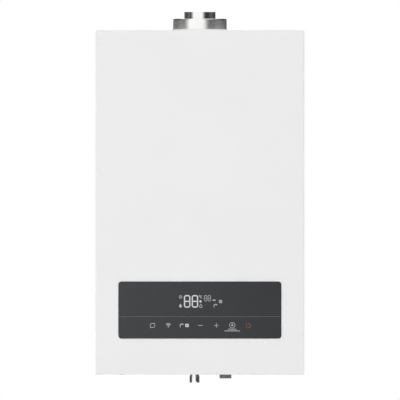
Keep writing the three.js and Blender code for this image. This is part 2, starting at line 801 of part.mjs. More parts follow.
function sightGlass() {
  const face = lidFront - lidEmboss;
  return turned('y', [
    [0, face - 2.5], [sightGlassRadius + 3, face - 2.5], [sightGlassRadius + 3, face - slip],
    [sightGlassRadius, face - slip], [sightGlassRadius, face + sheet], [0, face + sheet],
  ], 0, sightZ);
}

add('chamber_box', chamberBox(), zinc, 0.45, 0.8);
add('chamber_lid', chamberLid(), zinc, 0.45, 0.8);
add('sight_glass', sightGlass(), 0x9fb4b0, 0.1);

// ---- combustion chamber, lining and burner ----------------------------------
function openBox(width, depth, wall, low, high) {
  const [x, y] = [width / 2, depth / 2];
  const outside = block(-x, x, stackCentre - y, stackCentre + y, low, high);
  const hollow = block(
    wall - x, x - wall, stackCentre - y + wall, stackCentre + y - wall, low - 1, high + 1,
  );
  return cut(outside, hollow);
}

function combustionChamber() {
  const walls = openBox(stackWidth, stackDepth, sheet, skirtBottom, exchangerBottom - slip);
  const mouth = block(
    sheet - stackHalf + 8, stackHalf - sheet - 8, stackFront - 1, stackFront + sheet + 1,
    skirtBottom - 1, liningBottom - slip,
  );
  const brackets = [-1, 1].map((side) => {
    const x = side * (stackHalf - 20);
    const [web, foot] = [stackBack - sheet / 2, -chamberBack - sheet - slip - sheet / 2];
    const angle = folded([[x + 14, web], [x, web], [x, foot], [x - side * 14, foot]], sheet);
    return prism('z', angle, skirtBottom + 10, exchangerBottom - 20);
  });
  return join(cut(walls, mouth), ...brackets);
}

function chamberLining() {
  const gap = sheet + slip;
  return openBox(
    stackWidth - 2 * gap, stackDepth - 2 * gap, liningThickness, liningBottom, exchangerBottom - slip,
  );
}

// One burner ramp seen from the side: the gas enters the venturi at the front foot
// and burns along the top.
function rampOutline() {
  const front = stackFront + sheet + 5;
  const back = stackBack - sheet - 3;
  const throat = (manifoldBottom + manifoldTop) / 2;
  const shape = new THREE.Shape();
  shape.moveTo(front, throat - 6);
  shape.lineTo(front + 14, throat - 3.5);
  shape.lineTo(front + 44, throat - 3.5);
  shape.quadraticCurveTo(back, rampBottom + 4, back, rampTop - 12);
  shape.lineTo(back, rampTop);
  shape.lineTo(front + 4, rampTop);
  shape.lineTo(front + 4, rampTop - 12);
  shape.quadraticCurveTo(front + 30, throat + 8, front + 14, throat + 3.5);
  shape.lineTo(front, throat + 6);
  return shape;
}

function burner() {
  const outline = rampOutline();
  const reach = stackHalf - sheet - slip;
  const ramps = Array.from({ length: burnerRamps }, (_, i) => {
    const x = (i - (burnerRamps - 1) / 2) * rampPitch;
    return prism('x', outline, x - rampThickness / 2, x + rampThickness / 2, 2);
  });
  const rails = [stackFront + 24, stackBack - 24].map((y) => {
    return block(-reach, reach, y - 2, y + 2, skirtBottom + 4, skirtBottom + 16);
  });
  const feet = [-1, 1].map((side) => {
    const x = [side * (reach - sheet), side * reach].sort((a, b) => a - b);
    return block(...x, stackFront + 12, stackBack - 12, skirtBottom + 2, skirtBottom + 18);
  });
  return join(...rails, ...feet, ...ramps);
}

// The bar that feeds each ramp through its own injector.
function gasManifold() {
  const half = ((burnerRamps - 1) / 2) * rampPitch + rampThickness;
  const front = manifoldY - 5;
  const bar = block(-half, half, front, manifoldY + 5, manifoldBottom, manifoldTop);
  const nozzles = Array.from({ length: burnerRamps }, (_, i) => {
    const x = (i - (burnerRamps - 1) / 2) * rampPitch;
    const tip = stackFront + sheet + 5 - slip;
    const z = (manifoldBottom + manifoldTop) / 2;
    return turned('y', [
      [0, manifoldY], [nozzleRadius, manifoldY], [nozzleRadius, tip - 3], [1.5, tip], [0, tip],
    ], x, z, 6);
  });
  return join(bar, ...nozzles);
}

// A ceramic rod with its metal tip over the flames.
function electrode(x) {
  const z = rampTop + slip + electrodeRadius;
  const front = stackFront - 8;
  return turned('y', [
    [0, front - 6], [1, front - 6], [1, front], [electrodeRadius, front],
    [electrodeRadius, stackFront + 14], [0.8, stackFront + 14], [0.8, stackFront + 34],
    [0, stackFront + 34],
  ], x, z, 8);
}

add('combustion_chamber', combustionChamber(), steel, 0.4, 0.8);
add('chamber_lining', chamberLining(), 0xe6ddc8, 0.95);
add('burner', burner(), steel, 0.35, 0.9);
add('gas_manifold', gasManifold(), brass, 0.35, 0.9);
add('ignition_electrode', electrode(-2 * rampPitch), 0xe8e4da, 0.5);
add('ionisation_electrode', electrode(2 * rampPitch), 0xe8e4da, 0.5);

// ---- heat exchanger ---------------------------------------------------------
// Copper fins on a row of tubes that pass to and fro through the hot gas.
function heatExchanger() {
  const [low, high] = [exchangerBottom, exchangerBottom + exchangerHeight];
  const jacket = openBox(stackWidth, stackDepth, 1.5, low, high);
  const finReach = stackDepth / 2 - 1.5 - slip;
  const fins = Array.from({ length: finCount }, (_, i) => {
    const x = ((i + 1) / (finCount + 1) - 0.5) * stackWidth;
    return block(
      x - finThickness / 2, x + finThickness / 2,
      stackCentre - finReach, stackCentre + finReach, low + 8, high - 8,
    );
  });
  const end = stackHalf + 2;
  const tubes = exchangerTubes.map((y) => rod('x', tubeRadius, -end, end, y, tubeHeight, 6));
  const bends = exchangerTubes.slice(1).map((y, i) => {
    const side = i % 2 === 0 ? -1 : 1;
    const reach = side * (end + tubePitch / 2);
    const from = side * (end - 1);
    const corners = [
      [from, y + tubePitch, tubeHeight], [reach, y + tubePitch, tubeHeight],
      [reach, y, tubeHeight], [from, y, tubeHeight],
    ];
    return pipe(corners, tubeRadius, tubePitch / 2 - 1, 6);
  });
  return join(jacket, ...fins, ...tubes, ...bends);
}

function riser(x, side, y, bottomCorners) {
  return pipe([
    [side * (stackHalf + 2 + slip), y, tubeHeight], [x, y, tubeHeight], ...bottomCorners,
  ], pipeRadius);
}

add('heat_exchanger', heatExchanger(), copper, 0.35, 0.95);

// ---- exhaust hood -----------------------------------------------------------
const fanX = -fanOffset;
const scrollLarge = fanOffset + exhaustRadius;
const fanBack = fanDepth / 2 - flueFromWall;
const plenumFront = fanBack + slip;
const plenumTop = fanHeight + scrollSmall + 4;

function hoodSkin(inset) {
  const grow = (x0, x1, y0, y1, z) => {
    return level(x0 + inset, x1 - inset, y0 + inset, y1 - inset, z);
  };
  const bottom = exchangerBottom + exchangerHeight + slip;
  const throatWidth = fanInletRadius + 30;
  const back = -chamberBack - sheet - slip;
  return loft([
    grow(-stackHalf, stackHalf, stackFront, stackBack, bottom - inset),
    grow(-stackHalf, stackHalf, stackFront, stackBack, bottom + 8 - inset / 2),
    grow(fanX - throatWidth, fanX + throatWidth, plenumFront, back, fanHeight - scrollLarge - 2),
    grow(fanX - throatWidth, fanX + throatWidth, plenumFront, back, plenumTop - inset),
  ]);
}

function exhaustHood() {
  const inlet = rod('y', fanInletRadius, plenumFront - 1, plenumFront + 4, fanX, fanHeight, 24);
  return cut(hoodSkin(0), hoodSkin(sheet), inlet);
}

add('exhaust_hood', exhaustHood(), zinc, 0.45, 0.8);

// ---- fan --------------------------------------------------------------------
const fanFront = fanBack - fanDepth;
const plateFront = fanFront - slip - fanWall;
const nippleRadius = 2.5;
const nippleZ = fanTop - 10;

// The scroll grows from the tongue round to the outlet, then runs straight up.
function scrollOutline(inset) {
  const points = [];
  const tongue = Math.acos((fanOffset - exhaustRadius + inset) / (scrollSmall - inset));
  const steps = 15;
  for (let k = 0; k <= steps; k += 1) {
    const turn = tongue + ((2 * Math.PI - tongue) * k) / steps;
    const radius = scrollSmall + ((scrollLarge - scrollSmall) * k) / steps - inset;
    points.push([fanX + radius * Math.cos(turn), fanHeight + radius * Math.sin(turn)]);
  }
  points.push([exhaustRadius - inset, fanTop - inset], [inset - exhaustRadius, fanTop - inset]);
  return polygon(points);
}

function fanHousing() {
  const outside = prism('y', scrollOutline(0), fanFront, fanBack);
  const hollow = prism('y', scrollOutline(fanWall), fanFront - 1, fanBack - fanWall);
  const inlet = rod('y', fanInletRadius, fanBack - 2 * fanWall, fanBack + 1, fanX, fanHeight, 24);
  const spigotRadius = exhaustRadius - exhaustWall - slip;
  const spigot = rod('z', spigotRadius, fanTop - fanWall, fanTop + spigotLength, 0, -flueFromWall, 24);
  const outlet = rod(
    'z', spigotRadius - fanWall, fanTop - 2 * fanWall, fanTop + spigotLength + 1, 0, -flueFromWall, 24,
  );
  const nipple = rod('x', nippleRadius, exhaustRadius - 1, exhaustRadius + 10, -flueFromWall, nippleZ, 8);
  return cut(join(cut(outside, hollow), spigot, nipple), inlet, outlet);
}

const shaftEnd = plateFront - 16;

function fanMotor() {
  const plate = prism('y', scrollOutline(0), plateFront, fanFront - slip);
  const core = roundedRectangle(64, 64, 6, fanX, fanHeight);
  const stack = prism('y', core, plateFront - 24, plateFront - 6, 1);
  const end = plateFront - fanMotorDepth;
  const can = turned('y', [
    [0, end], [fanMotorRadius * 0.5, end], [fanMotorRadius * 0.75, end + 4],
    [fanMotorRadius * 0.75, plateFront - 22], [fanMotorRadius * 0.6, plateFront - 22],
    [fanMotorRadius * 0.6, plateFront + fanWall / 2], [0, plateFront + fanWall / 2],
  ], fanX, fanHeight, 16);
  const bore = rod('y', boreFor(shaftRadius), shaftEnd - 2, fanFront, fanX, fanHeight);
  return cut(join(plate, stack, can), bore);
}

function fanImpeller() {
  const front = fanFront + 8;
  const back = front + impellerDepth;
  const inner = fanInletRadius - 2;
  const wheel = bladedWheel({
    x: fanX, z: fanHeight, back, front, disc: 2, hub: 9, inner, outer: impellerRadius,
    blades: fanBlades, sweep: -0.9, thickness: 1.6, sides: 20,
  });
  const shaft = rod('y', shaftRadius, shaftEnd, front + 1, fanX, fanHeight);
  return join(wheel, shaft);
}

// ---- air pressure switch and its tube ---------------------------------------
const switchX = chamberWidth / 2 - sheet - slip;
const switchZ = fanHeight;
const portZ = switchZ + 10;
const portEnd = switchX - 38;

function airPressureSwitch() {
  const body = turned('x', [
    [0, switchX - 28], [24, switchX - 28], [28, switchX - 24], [28, switchX - 18],
    [31, switchX - 18], [31, switchX - 13], [28, switchX - 13], [28, switchX - 7],
    [12, switchX - 5], [12, switchX], [0, switchX],
  ], -flueFromWall, switchZ, 14);
  const ports = [portZ, switchZ - 10].map((z) => {
    return rod('x', nippleRadius, portEnd, switchX - 27, -flueFromWall, z, 8);
  });
  return join(body, ...ports);
}

function pressureTube() {
  const [start, end] = [exhaustRadius + slip + 2, portEnd + 8];
  const middle = (start + end) / 2;
  const route = (reach) => [
    [start - reach, -flueFromWall, nippleZ], [middle, -flueFromWall, nippleZ],
    [middle, -flueFromWall, portZ], [end + reach, -flueFromWall, portZ],
  ];
  const bore = boreFor(nippleRadius, 6);
  return cut(pipe(route(0), bore + 1.4, bendRadius, 6), pipe(route(1), bore, bendRadius, 6));
}

add('fan_housing', fanHousing(), zinc, 0.4, 0.8);
add('fan_motor', fanMotor(), steel, 0.45, 0.7);
add('fan_impeller', fanImpeller(), zinc, 0.4, 0.8);
add('air_pressure_switch', airPressureSwitch(), 0xd8d8d4, 0.6);
add('pressure_tube', pressureTube(), 0xc9c4b8, 0.7);

// ---- connection stubs and gas ----------------------------------------------
function stub(radius, x, top) {
  return turned('z', [
    [0, stubEnd], [radius - 1.2, stubEnd], [radius, stubEnd + 1.2], [radius, top], [0, top],
  ], x, pipeY, 12);
}

function stubBore(radius, x, depth = 34) {
  return rod('z', radius - 3, stubEnd - 1, stubEnd + depth, x, pipeY);
}

const nutLow = baseRecess + sheet + 4;
const valveBottom = 118;
const valveTop = valveBottom + 72;

function gasInletPipe() {
  const end = -gasDrop;
  const top = valveBottom - slip;
  const tube = turned('z', [
    [0, end], [gasStubRadius - 1.4, end], [gasStubRadius, end + 1.6],
    [gasStubRadius, -2], [gasPipeRadius, -1.6], [gasPipeRadius, top], [0, top],
  ], gasX, pipeY, 20);
  const nuts = [nutLow, top - nutHeight].map((low) => {
    return hexagon('z', nutFlats, low, low + nutHeight, gasX, pipeY);
  });
  const bore = rod('z', gasPipeRadius - 2, end - 1, end + 40, gasX, pipeY);
  return cut(join(tube, ...nuts), bore);
}

function gasValve() {
  const [x0, x1] = [gasX - 30, gasX + 30];
  const [y0, y1] = [pipeY - 27, pipeY + 21];
  const chamfer = 6;
  const outline = polygon([
    [y0, valveBottom + 10], [y0 + chamfer, valveBottom + 4], [y1 - chamfer, valveBottom + 4],
    [y1, valveBottom + 10], [y1, valveTop - 10], [y1 - chamfer, valveTop - 4],
    [y0 + chamfer, valveTop - 4], [y0, valveTop - 10],
  ]);
  const casting = prism('x', outline, x0, x1);
  const inlet = rod('z', 17, valveBottom, valveBottom + 6, gasX, pipeY, 16);
  const outlet = rod('z', 14, valveTop - 6, valveTop, gasX, pipeY, 16);
  const regulator = turned('y', [
    [0, y0 - 14], [7, y0 - 14], [9, y0 - 12], [9, y0 - 4], [13, y0 - 4], [13, y0 + 1], [0, y0 + 1],
  ], gasX + 12, valveBottom + 24, 12);
  return join(casting, inlet, outlet, regulator);
}

// The safety and modulation coils, side by side on one yoke.
function gasValveCoils() {
  const seat = gasX - 30 - slip;
  const heights = [valveBottom + 20, valveBottom + 52];
  const coils = heights.map((z) => turned('x', [
    [0, seat - 26], [8, seat - 26], [8, seat - 23], [15, seat - 23], [15, seat - 3],
    [8, seat - 3], [8, seat], [0, seat],
  ], pipeY, z, 10));
  const yoke = block(seat - 2, seat, pipeY - 17, pipeY + 17, heights[0] - 17, heights[1] + 17);
  return join(yoke, ...coils);
}

function gasOutletPipe() {
  const height = (valveTop + chamberBottom) / 2 + 1;
  return pipe([
    [gasX, pipeY, valveTop + slip], [gasX, pipeY, height], [gasX, manifoldY, height],
    [gasX, manifoldY, manifoldBottom - slip],
  ], gasRiserRadius, 12);
}

add('gas_inlet_pipe', gasInletPipe(), steel, 0.2, 1);
add('gas_valve', gasValve(), 0xa9adaf, 0.5, 0.7);
add('gas_valve_coils', gasValveCoils(), black, 0.5);
add('gas_outlet_pipe', gasOutletPipe(), copper, 0.35, 0.95);

// ---- plate heat exchanger ---------------------------------------------------
const plateBack = webFront - plateGap;
const plateFace = plateBack - plateCount * platePitch;
const portX = plateWidth / 2 - 16;
const portLow = plateBottom + 14;
const portHigh = plateBottom + plateHeight - 14;
const portRadius = 10;

function plateHeatExchanger() {
  const outline = (inset) => clippedRectangle(
    plateWidth - 2 * inset, plateHeight - 2 * inset, plateCorner, 0, plateBottom + plateHeight / 2,
  );
  const core = prism('y', outline(1.4), plateFace, plateBack);
  const plates = Array.from({ length: plateCount }, (_, i) => {
    const back = plateBack - i * platePitch;
    return prism('y', outline(0), back - platePitch * 0.65, back);
  });
  const hangers = [-1, 1].map((side) => {
    const x = side * portX;
    return block(x - 8, x + 8, plateBack - 1, webFront - slip, plateBottom + 20, plateBottom + 50);
  });
  return join(core, ...plates, ...hangers);
}

function platePorts(side) {
  const x = side * portX;
  return [portLow, portHigh].map((z) => {
    return rod('y', portRadius, pipeY, plateFace - slip, x, z, 8);
  });
}

add('plate_heat_exchanger', plateHeatExchanger(), steel, 0.35, 0.9);

// ---- valve blocks -----------------------------------------------------------
const riserFoot = 150;
const diverterX = flowX + 24;
const diverterTop = 136;
const stemTop = diverterTop + 20;
const stemBottom = diverterTop - 16;

// The flow side: heating flow and hot tap water, with the diverter valve's chamber.
function heatingFlowBlock() {
  const cross = rod('x', 14, riserLeft, tapX + 6, pipeY, portLow);
  const riserPort = rod('z', 13, portLow, riserFoot, riserLeft, pipeY);
  const diverter = rod('z', 14, portLow, diverterTop, diverterX, pipeY);
  const branch = rod('z', 9, portLow, portHigh + 6, -portX, pipeY, 8);
  const nuts = [
    hexagon('z', nutFlats, riserFoot - nutHeight, riserFoot, riserLeft, pipeY),
    hexagon('z', nutFlats, nutLow, nutLow + nutHeight, flowX, pipeY),
    hexagon('z', nutFlats - 2, nutLow, nutLow + nutHeight, tapX, pipeY),
  ];
  const body = join(
    cross, riserPort, diverter, branch, stub(heatingStubRadius, flowX, portLow),
    stub(tapStubRadius, tapX, portLow), ...platePorts(-1), ...nuts,
  );
  const bore = rod(
    'z', boreFor(stemRadius), stemBottom - diverterTravel - 2, diverterTop + 1, diverterX, pipeY,
  );
  return cut(body, bore, stubBore(heatingStubRadius, flowX), stubBore(tapStubRadius, tapX));
}

function diverterStem() {
  const valveDisc = [[0, stemBottom], [stemRadius, stemBottom], [stemRadius, stemTop], [0, stemTop]];
  return turned('z', valveDisc, diverterX, pipeY, 10);
}

function diverterActuator() {
  const [low, high] = [diverterTop + 4, diverterTop + 58];
  const outline = roundedRectangle(40, 48, 6, diverterX, pipeY);
  const housing = prism('z', outline, low, high, 1);
  const collar = rod('z', 16, diverterTop + slip, low + 1, diverterX, pipeY);
  const plug = block(diverterX - 12, diverterX + 12, pipeY - 32, pipeY - 23, high - 20, high - 6);
  const bore = rod('z', boreFor(stemRadius), diverterTop, stemTop + 2, diverterX, pipeY);
  return cut(join(housing, collar, plug), bore);
}

const sensorTop = 96;
const bridgeZ = sensorTop + 14;
const returnTop = 165;
const reliefZ = 74;
const reliefSeat = returnX + 20;
const hosePortTop = returnTop + 7;

// The return side: heating return, the pump's seat and the cold water's branch.
function returnBlock() {
  const bridge = rod('x', 12, coldX - 2, returnX, pipeY, bridgeZ);
  const drop = rod('z', 11, sensorTop + slip, bridgeZ, coldX, pipeY);
  const column = rod('z', 15, portLow - 34, returnTop, returnX, pipeY);
  const branch = rod('z', 9, portLow, portHigh + 6, portX, pipeY, 8);
  const pumpPort = rod('y', 18, -pumpBack + slip, pipeY, pumpX, pumpZ, 16);
  const reliefBoss = rod('x', 9, returnX, reliefSeat, pipeY, reliefZ);
  const hosePort = rod('z', 6, returnTop - 1, hosePortTop, returnX, pipeY, 8);
  const nut = hexagon('z', nutFlats, nutLow, nutLow + nutHeight, returnX, pipeY);
  const body = join(
    bridge, drop, column, branch, pumpPort, reliefBoss, hosePort, nut,
    stub(heatingStubRadius, returnX, portLow), ...platePorts(1),
  );
  return cut(body, stubBore(heatingStubRadius, returnX));
}

add('heating_flow_block', heatingFlowBlock(), brass, 0.35, 0.9);
add('diverter_stem', diverterStem(), steel, 0.3, 0.9);
add('diverter_actuator', diverterActuator(), black, 0.6);
add('return_block', returnBlock(), brass, 0.35, 0.9);

// ---- knobs ------------------------------------------------------------------
function fluted(radius, flutes, depth, u, v) {
  const steps = flutes * 4;
  return polygon(Array.from({ length: steps }, (_, i) => {
    const angle = (i / steps) * 2 * Math.PI;
    const reach = radius - (depth / 2) * (1 - Math.cos(angle * flutes));
    return [u + reach * Math.cos(angle), v + reach * Math.sin(angle)];
  }));
}

const reliefX = reliefSeat + slip;
const reliefBonnet = reliefX + 28;

function reliefValve() {
  const nut = hexagon('x', 12, reliefX, reliefX + 8, pipeY, reliefZ);
  const body = turned('x', [
    [0, reliefX + 7], [11, reliefX + 7], [11, reliefX + 22], [9, reliefX + 24],
    [9, reliefBonnet], [3, reliefBonnet], [3, reliefBonnet + 8], [0, reliefBonnet + 8],
  ], pipeY, reliefZ, 12);
  const outlet = rod('z', 7, reliefZ - 26, reliefZ, reliefX + 15, pipeY);
  const drain = rod('z', 4, reliefZ - 27, reliefZ - 12, reliefX + 15, pipeY);
  return cut(join(nut, body, outlet), drain);
}

function reliefKnob() {
  const start = reliefBonnet + slip;
  const grip = prism('x', fluted(reliefKnobRadius, 8, 2.4, pipeY, reliefZ), start, start + 14);
  const bore = rod('x', boreFor(3), start - 1, start + 10, pipeY, reliefZ);
  return cut(grip, bore);
}

const knobY = -knobFromWall;
const knobTop = baseRecess - 4;
const knobGrip = 16;
const fillingBottom = baseRecess + sheet + 3;
const fillingArm = nutLow + nutHeight + 8;
const fillingTop = fillingArm + 9;
const fillingSeat = pipeY - 13;

function fillingValve() {
  const body = rod('z', 10, fillingBottom, fillingTop, knobX, knobY);
  const arm = rod('y', 6, knobY, fillingSeat - slip, knobX, fillingArm, 8);
  const cap = hexagon('z', 8, fillingTop - 1, fillingTop + 5, knobX, knobY);
  const bore = rod('z', boreFor(stemRadius), fillingBottom - 1, fillingBottom + 12, knobX, knobY);
  return cut(join(body, arm, cap), bore);
}

function fillingKnob() {
  const outline = fluted(knobRadius, knobFlutes, 1.2, knobX, knobY);
  const grip = prism('z', outline, -knobDrop + 1.2, knobGrip);
  const face = rod('z', knobRadius - 1.4, -knobDrop, 0, knobX, knobY, 20);
  const neck = rod('z', knobRadius - 3.5, knobGrip - 1, knobTop, knobX, knobY);
  const stem = rod('z', stemRadius, knobTop - 1, fillingBottom + 10, knobX, knobY);
  return join(grip, face, neck, stem);
}

add('relief_valve', reliefValve(), brass, 0.35, 0.9);
add('relief_knob', reliefKnob(), red, 0.45);
add('filling_valve', fillingValve(), brass, 0.35, 0.9);
add('filling_knob', fillingKnob(), 0x77797b, 0.5, 0.4);

// ---- cold inlet with its flow sensor ----------------------------------------
const sensorLow = nutLow + nutHeight + 12;
const webLow = sensorLow + 2;
const turbineLow = webLow + slip;
const turbineHigh = sensorTop - 12;

function flowSensorHousing() {
  const nut = hexagon('z', nutFlats - 2, nutLow, nutLow + nutHeight, coldX, pipeY);
  const body = rod('z', 13, sensorLow, sensorTop, coldX, pipeY, 12);
  const pickup = block(coldX - 8, coldX + 8, pipeY - 22, pipeY - 10, sensorLow + 6, sensorLow + 24);
  const boss = rod('y', 7, fillingSeat, pipeY, knobX, fillingArm, 8);
  const outside = join(stub(tapStubRadius, coldX, sensorLow + 1), nut, body, pickup, boss);
  const chamber = rod('z', turbineRadius + 2, sensorLow - 2, sensorTop + 1, coldX, pipeY, 12);
  const webs = [[sensorLow - 1, webLow], [turbineHigh + slip, turbineHigh + slip + 3]].map(([z0, z1]) => {
    return block(coldX - 11, coldX + 11, pipeY - 1.5, pipeY + 1.5, z0, z1);
  });
  const bore = stubBore(tapStubRadius, coldX, sensorLow - stubEnd);
  return join(cut(outside, chamber, bore), ...webs);
}

function flowTurbine() {
  const [low, high] = [turbineLow + 3, turbineHigh - 3];
  const spindle = turned('z', [
    [0, turbineLow], [1.2, turbineLow], [1.2, low], [3, low], [3, high], [1.2, high],
    [1.2, turbineHigh], [0, turbineHigh],
  ], coldX, pipeY, 8);
  const vanes = [0, 1].map((turn) => {
    const [w, d] = turn ? [0.6, turbineRadius] : [turbineRadius, 0.6];
    return block(coldX - w, coldX + w, pipeY - d, pipeY + d, low + 1, high - 1);
  });
  return join(spindle, ...vanes);
}

add('flow_sensor_housing', flowSensorHousing(), brass, 0.35, 0.9);
add('flow_turbine', flowTurbine(), 0xe9e9e6, 0.5);

// ---- pump -------------------------------------------------------------------
const voluteFront = -pumpBack - voluteDepth;
const neckTop = pumpZ + 60;
const ventX = pumpX - 27;
const ventSeat = pumpZ + 48;

function pumpBody() {
  const back = -pumpBack;
  const casting = turned('y', [
    [0, back], [30, back], [volutePumpRadius, back - 8], [volutePumpRadius, voluteFront],
    [0, voluteFront],
  ], pumpX, pumpZ, 24);
  const neck = rod('z', 10, pumpZ, neckTop, riserRight, returnTubeY);
  const nut = hexagon('z', nutFlats - 1, neckTop - nutHeight, neckTop, riserRight, returnTubeY);
  const ventNeck = rod('z', 7, pumpZ + 20, ventSeat, ventX, returnTubeY, 8);
  const hollow = rod(
    'y', pumpWheelRadius + 4, voluteFront - 1, back - 12, pumpX, pumpZ, 24,
  );
  const inlet = rod('y', 13, back - 13, back + 1, pumpX, pumpZ);
  return cut(join(casting, neck, nut, ventNeck), hollow, inlet);
}

const pumpShaftEnd = voluteFront - 14;

function pumpMotor() {
  const seat = voluteFront - slip;
  const end = seat - pumpMotorDepth;
  const can = turned('y', [
    [0, end], [9, end], [9, end + 3], [pumpMotorRadius - 8, end + 3], [pumpMotorRadius, end + 10],
    [pumpMotorRadius, seat - 6], [volutePumpRadius - 2, seat - 6], [volutePumpRadius - 2, seat],
    [0, seat],
  ], pumpX, pumpZ, 24);
  const top = pumpZ + pumpMotorRadius;
  const terminals = block(pumpX - 22, pumpX + 22, end + 12, seat - 10, top - 6, top + 14);
  const bore = rod('y', boreFor(shaftRadius), pumpShaftEnd - 2, seat + 1, pumpX, pumpZ);
  return cut(join(can, terminals), bore);
}

function pumpImpeller() {
  const front = voluteFront + 3;
  const back = -pumpBack - 14;
  const wheel = bladedWheel({
    x: pumpX, z: pumpZ, back, front, disc: 2, hub: 7, inner: 12, outer: pumpWheelRadius,
    blades: pumpBlades, sweep: -1.1, thickness: 2, sides: 16,
  });
  const shaft = rod('y', shaftRadius, pumpShaftEnd, front + 1, pumpX, pumpZ);
  return join(wheel, shaft);
}

const nozzleTop = ventSeat + 26;

function airVent() {
  return turned('z', [
    [0, ventSeat + slip], [6, ventSeat + slip], [6, ventSeat + 4], [ventRadius, ventSeat + 5],
    [ventRadius, ventSeat + 19], [ventRadius - 3, ventSeat + 22], [3, ventSeat + 22],
    [3, nozzleTop], [0, nozzleTop],
  ], ventX, returnTubeY, 12);
}

function airVentCap() {
  const low = ventSeat + 22 + slip;
  const grip = prism('z', fluted(ventCapRadius, 8, 1, ventX, returnTubeY), low, low + 8);
  const bore = rod('z', boreFor(3), low - 1, nozzleTop + slip, ventX, returnTubeY);
  return cut(grip, bore);
}

add('pump_body', pumpBody(), 0x54585b, 0.6, 0.5);
add('pump_motor', pumpMotor(), 0x8a8d8f, 0.45, 0.6);
add('pump_impeller', pumpImpeller(), 0xd9d6cc, 0.5);
add('air_vent', airVent(), brass, 0.35, 0.9);
add('air_vent_cap', airVentCap(), black, 0.6);

// ---- heating pipes and expansion vessel -------------------------------------
const crossing = (riserFoot + chamberBottom) / 2 + 22;

function flowPipe() {
  return riser(riserLeft, -1, flowTubeY, [
    [riserLeft, flowTubeY, crossing], [riserLeft, pipeY, crossing],
    [riserLeft, pipeY, riserFoot + slip],
  ]);
}

function returnPipe() {
  return riser(riserRight, 1, returnTubeY, [[riserRight, returnTubeY, neckTop + slip]]);
}

// A flat round vessel of two pressed halves, crimped together round the middle.
const vesselBack = webFront - slip;
const vesselPort = vesselHeight - vesselRadius - 10;
const vesselMiddle = vesselBack - vesselThickness / 2;

function expansionVessel() {
  const half = vesselThickness / 2;
  const pressed = [[vesselRadius - 40, half], [vesselRadius - 12, half - 8], [vesselRadius, half - 22]];
  const seam = [[vesselRadius, 3], [vesselRadius + 3, 3]];
  const frontHalf = [...pressed, ...seam].map(([r, y]) => [r, vesselMiddle - y]);
  const backHalf = [...pressed, ...seam].map(([r, y]) => [r, vesselMiddle + y]).reverse();
  const profile = [
    [0, vesselMiddle - half], ...frontHalf, ...backHalf, [0, vesselMiddle + half],
  ];
  const body = turned('y', profile, 0, vesselHeight, 24);
  const port = rod('z', 6, vesselPort, vesselHeight - vesselRadius + 4, 0, vesselMiddle, 12);
  return join(body, port);
}

function expansionHose() {
  const height = (hosePortTop + chamberBottom) / 2 + 6;
  return pipe([
    [0, vesselMiddle, vesselPort - slip], [0, vesselMiddle, height],
    [returnX, pipeY, height], [returnX, pipeY, hosePortTop + slip],
  ], 5, 14);
}

add('flow_pipe', flowPipe(), copper, 0.35, 0.95);
add('return_pipe', returnPipe(), copper, 0.35, 0.95);
add('expansion_vessel', expansionVessel(), red, 0.4);
add('expansion_hose', expansionHose(), 0xa3a6a8, 0.5, 0.6);

// The origin goes to the wall, at the centre of the hanging bracket.
boiler.position.z = -hangHeight;
const group = new THREE.Group();
group.add(boiler);
export default group;
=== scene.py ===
"""A wall-hung combi boiler, dressed for its portrait: dead-on, on a white ground.

Metres throughout, in the row's frame: +X right, +Y into the wall, +Z up, with the
origin on the wall at the middle of the hanging bracket. Sizes that a designer would
read off a drawing are written in millimetres and turned into metres by mm().
"""

import json
import math

import bmesh
import bpy
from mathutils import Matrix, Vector


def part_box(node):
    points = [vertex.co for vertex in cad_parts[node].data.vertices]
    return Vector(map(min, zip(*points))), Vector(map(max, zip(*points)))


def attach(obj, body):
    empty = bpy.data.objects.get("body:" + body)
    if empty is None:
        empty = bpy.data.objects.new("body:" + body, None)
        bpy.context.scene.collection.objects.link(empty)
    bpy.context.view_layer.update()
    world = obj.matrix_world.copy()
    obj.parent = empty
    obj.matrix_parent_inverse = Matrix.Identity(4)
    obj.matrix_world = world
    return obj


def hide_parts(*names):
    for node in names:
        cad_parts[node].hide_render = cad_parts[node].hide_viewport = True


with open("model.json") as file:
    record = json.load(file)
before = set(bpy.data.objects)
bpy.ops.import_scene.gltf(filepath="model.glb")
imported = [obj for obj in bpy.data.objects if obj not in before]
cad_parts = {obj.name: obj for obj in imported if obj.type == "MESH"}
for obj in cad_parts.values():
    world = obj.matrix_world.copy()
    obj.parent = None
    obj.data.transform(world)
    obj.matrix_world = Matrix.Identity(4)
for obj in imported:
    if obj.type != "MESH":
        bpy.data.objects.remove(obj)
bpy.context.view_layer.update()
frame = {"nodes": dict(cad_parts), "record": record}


def mm(*lengths):
    """Millimetres as metres: one number, or a tuple of them."""
    metres = tuple(length / 1000 for length in lengths)
    return metres[0] if len(metres) == 1 else metres


# ---- what the frame says ----------------------------------------------------
COVER_LOW, COVER_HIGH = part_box("front_cover")
GLASS_LOW, GLASS_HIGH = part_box("control_glass")
COLLAR_LOW, COLLAR_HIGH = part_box("flue_collar")
TUBE_LOW, TUBE_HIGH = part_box("flue_inner_tube")
STUB_LOW, STUB_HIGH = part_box("gas_inlet_pipe")
KNOB_LOW, KNOB_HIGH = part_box("filling_knob")
_, BASE_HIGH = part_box("base_plate")
CASING_WIDTH = COVER_HIGH.x - COVER_LOW.x
CASING_FOOT, CASING_TOP = COVER_LOW.z, COVER_HIGH.z
FRONT = COVER_LOW.y


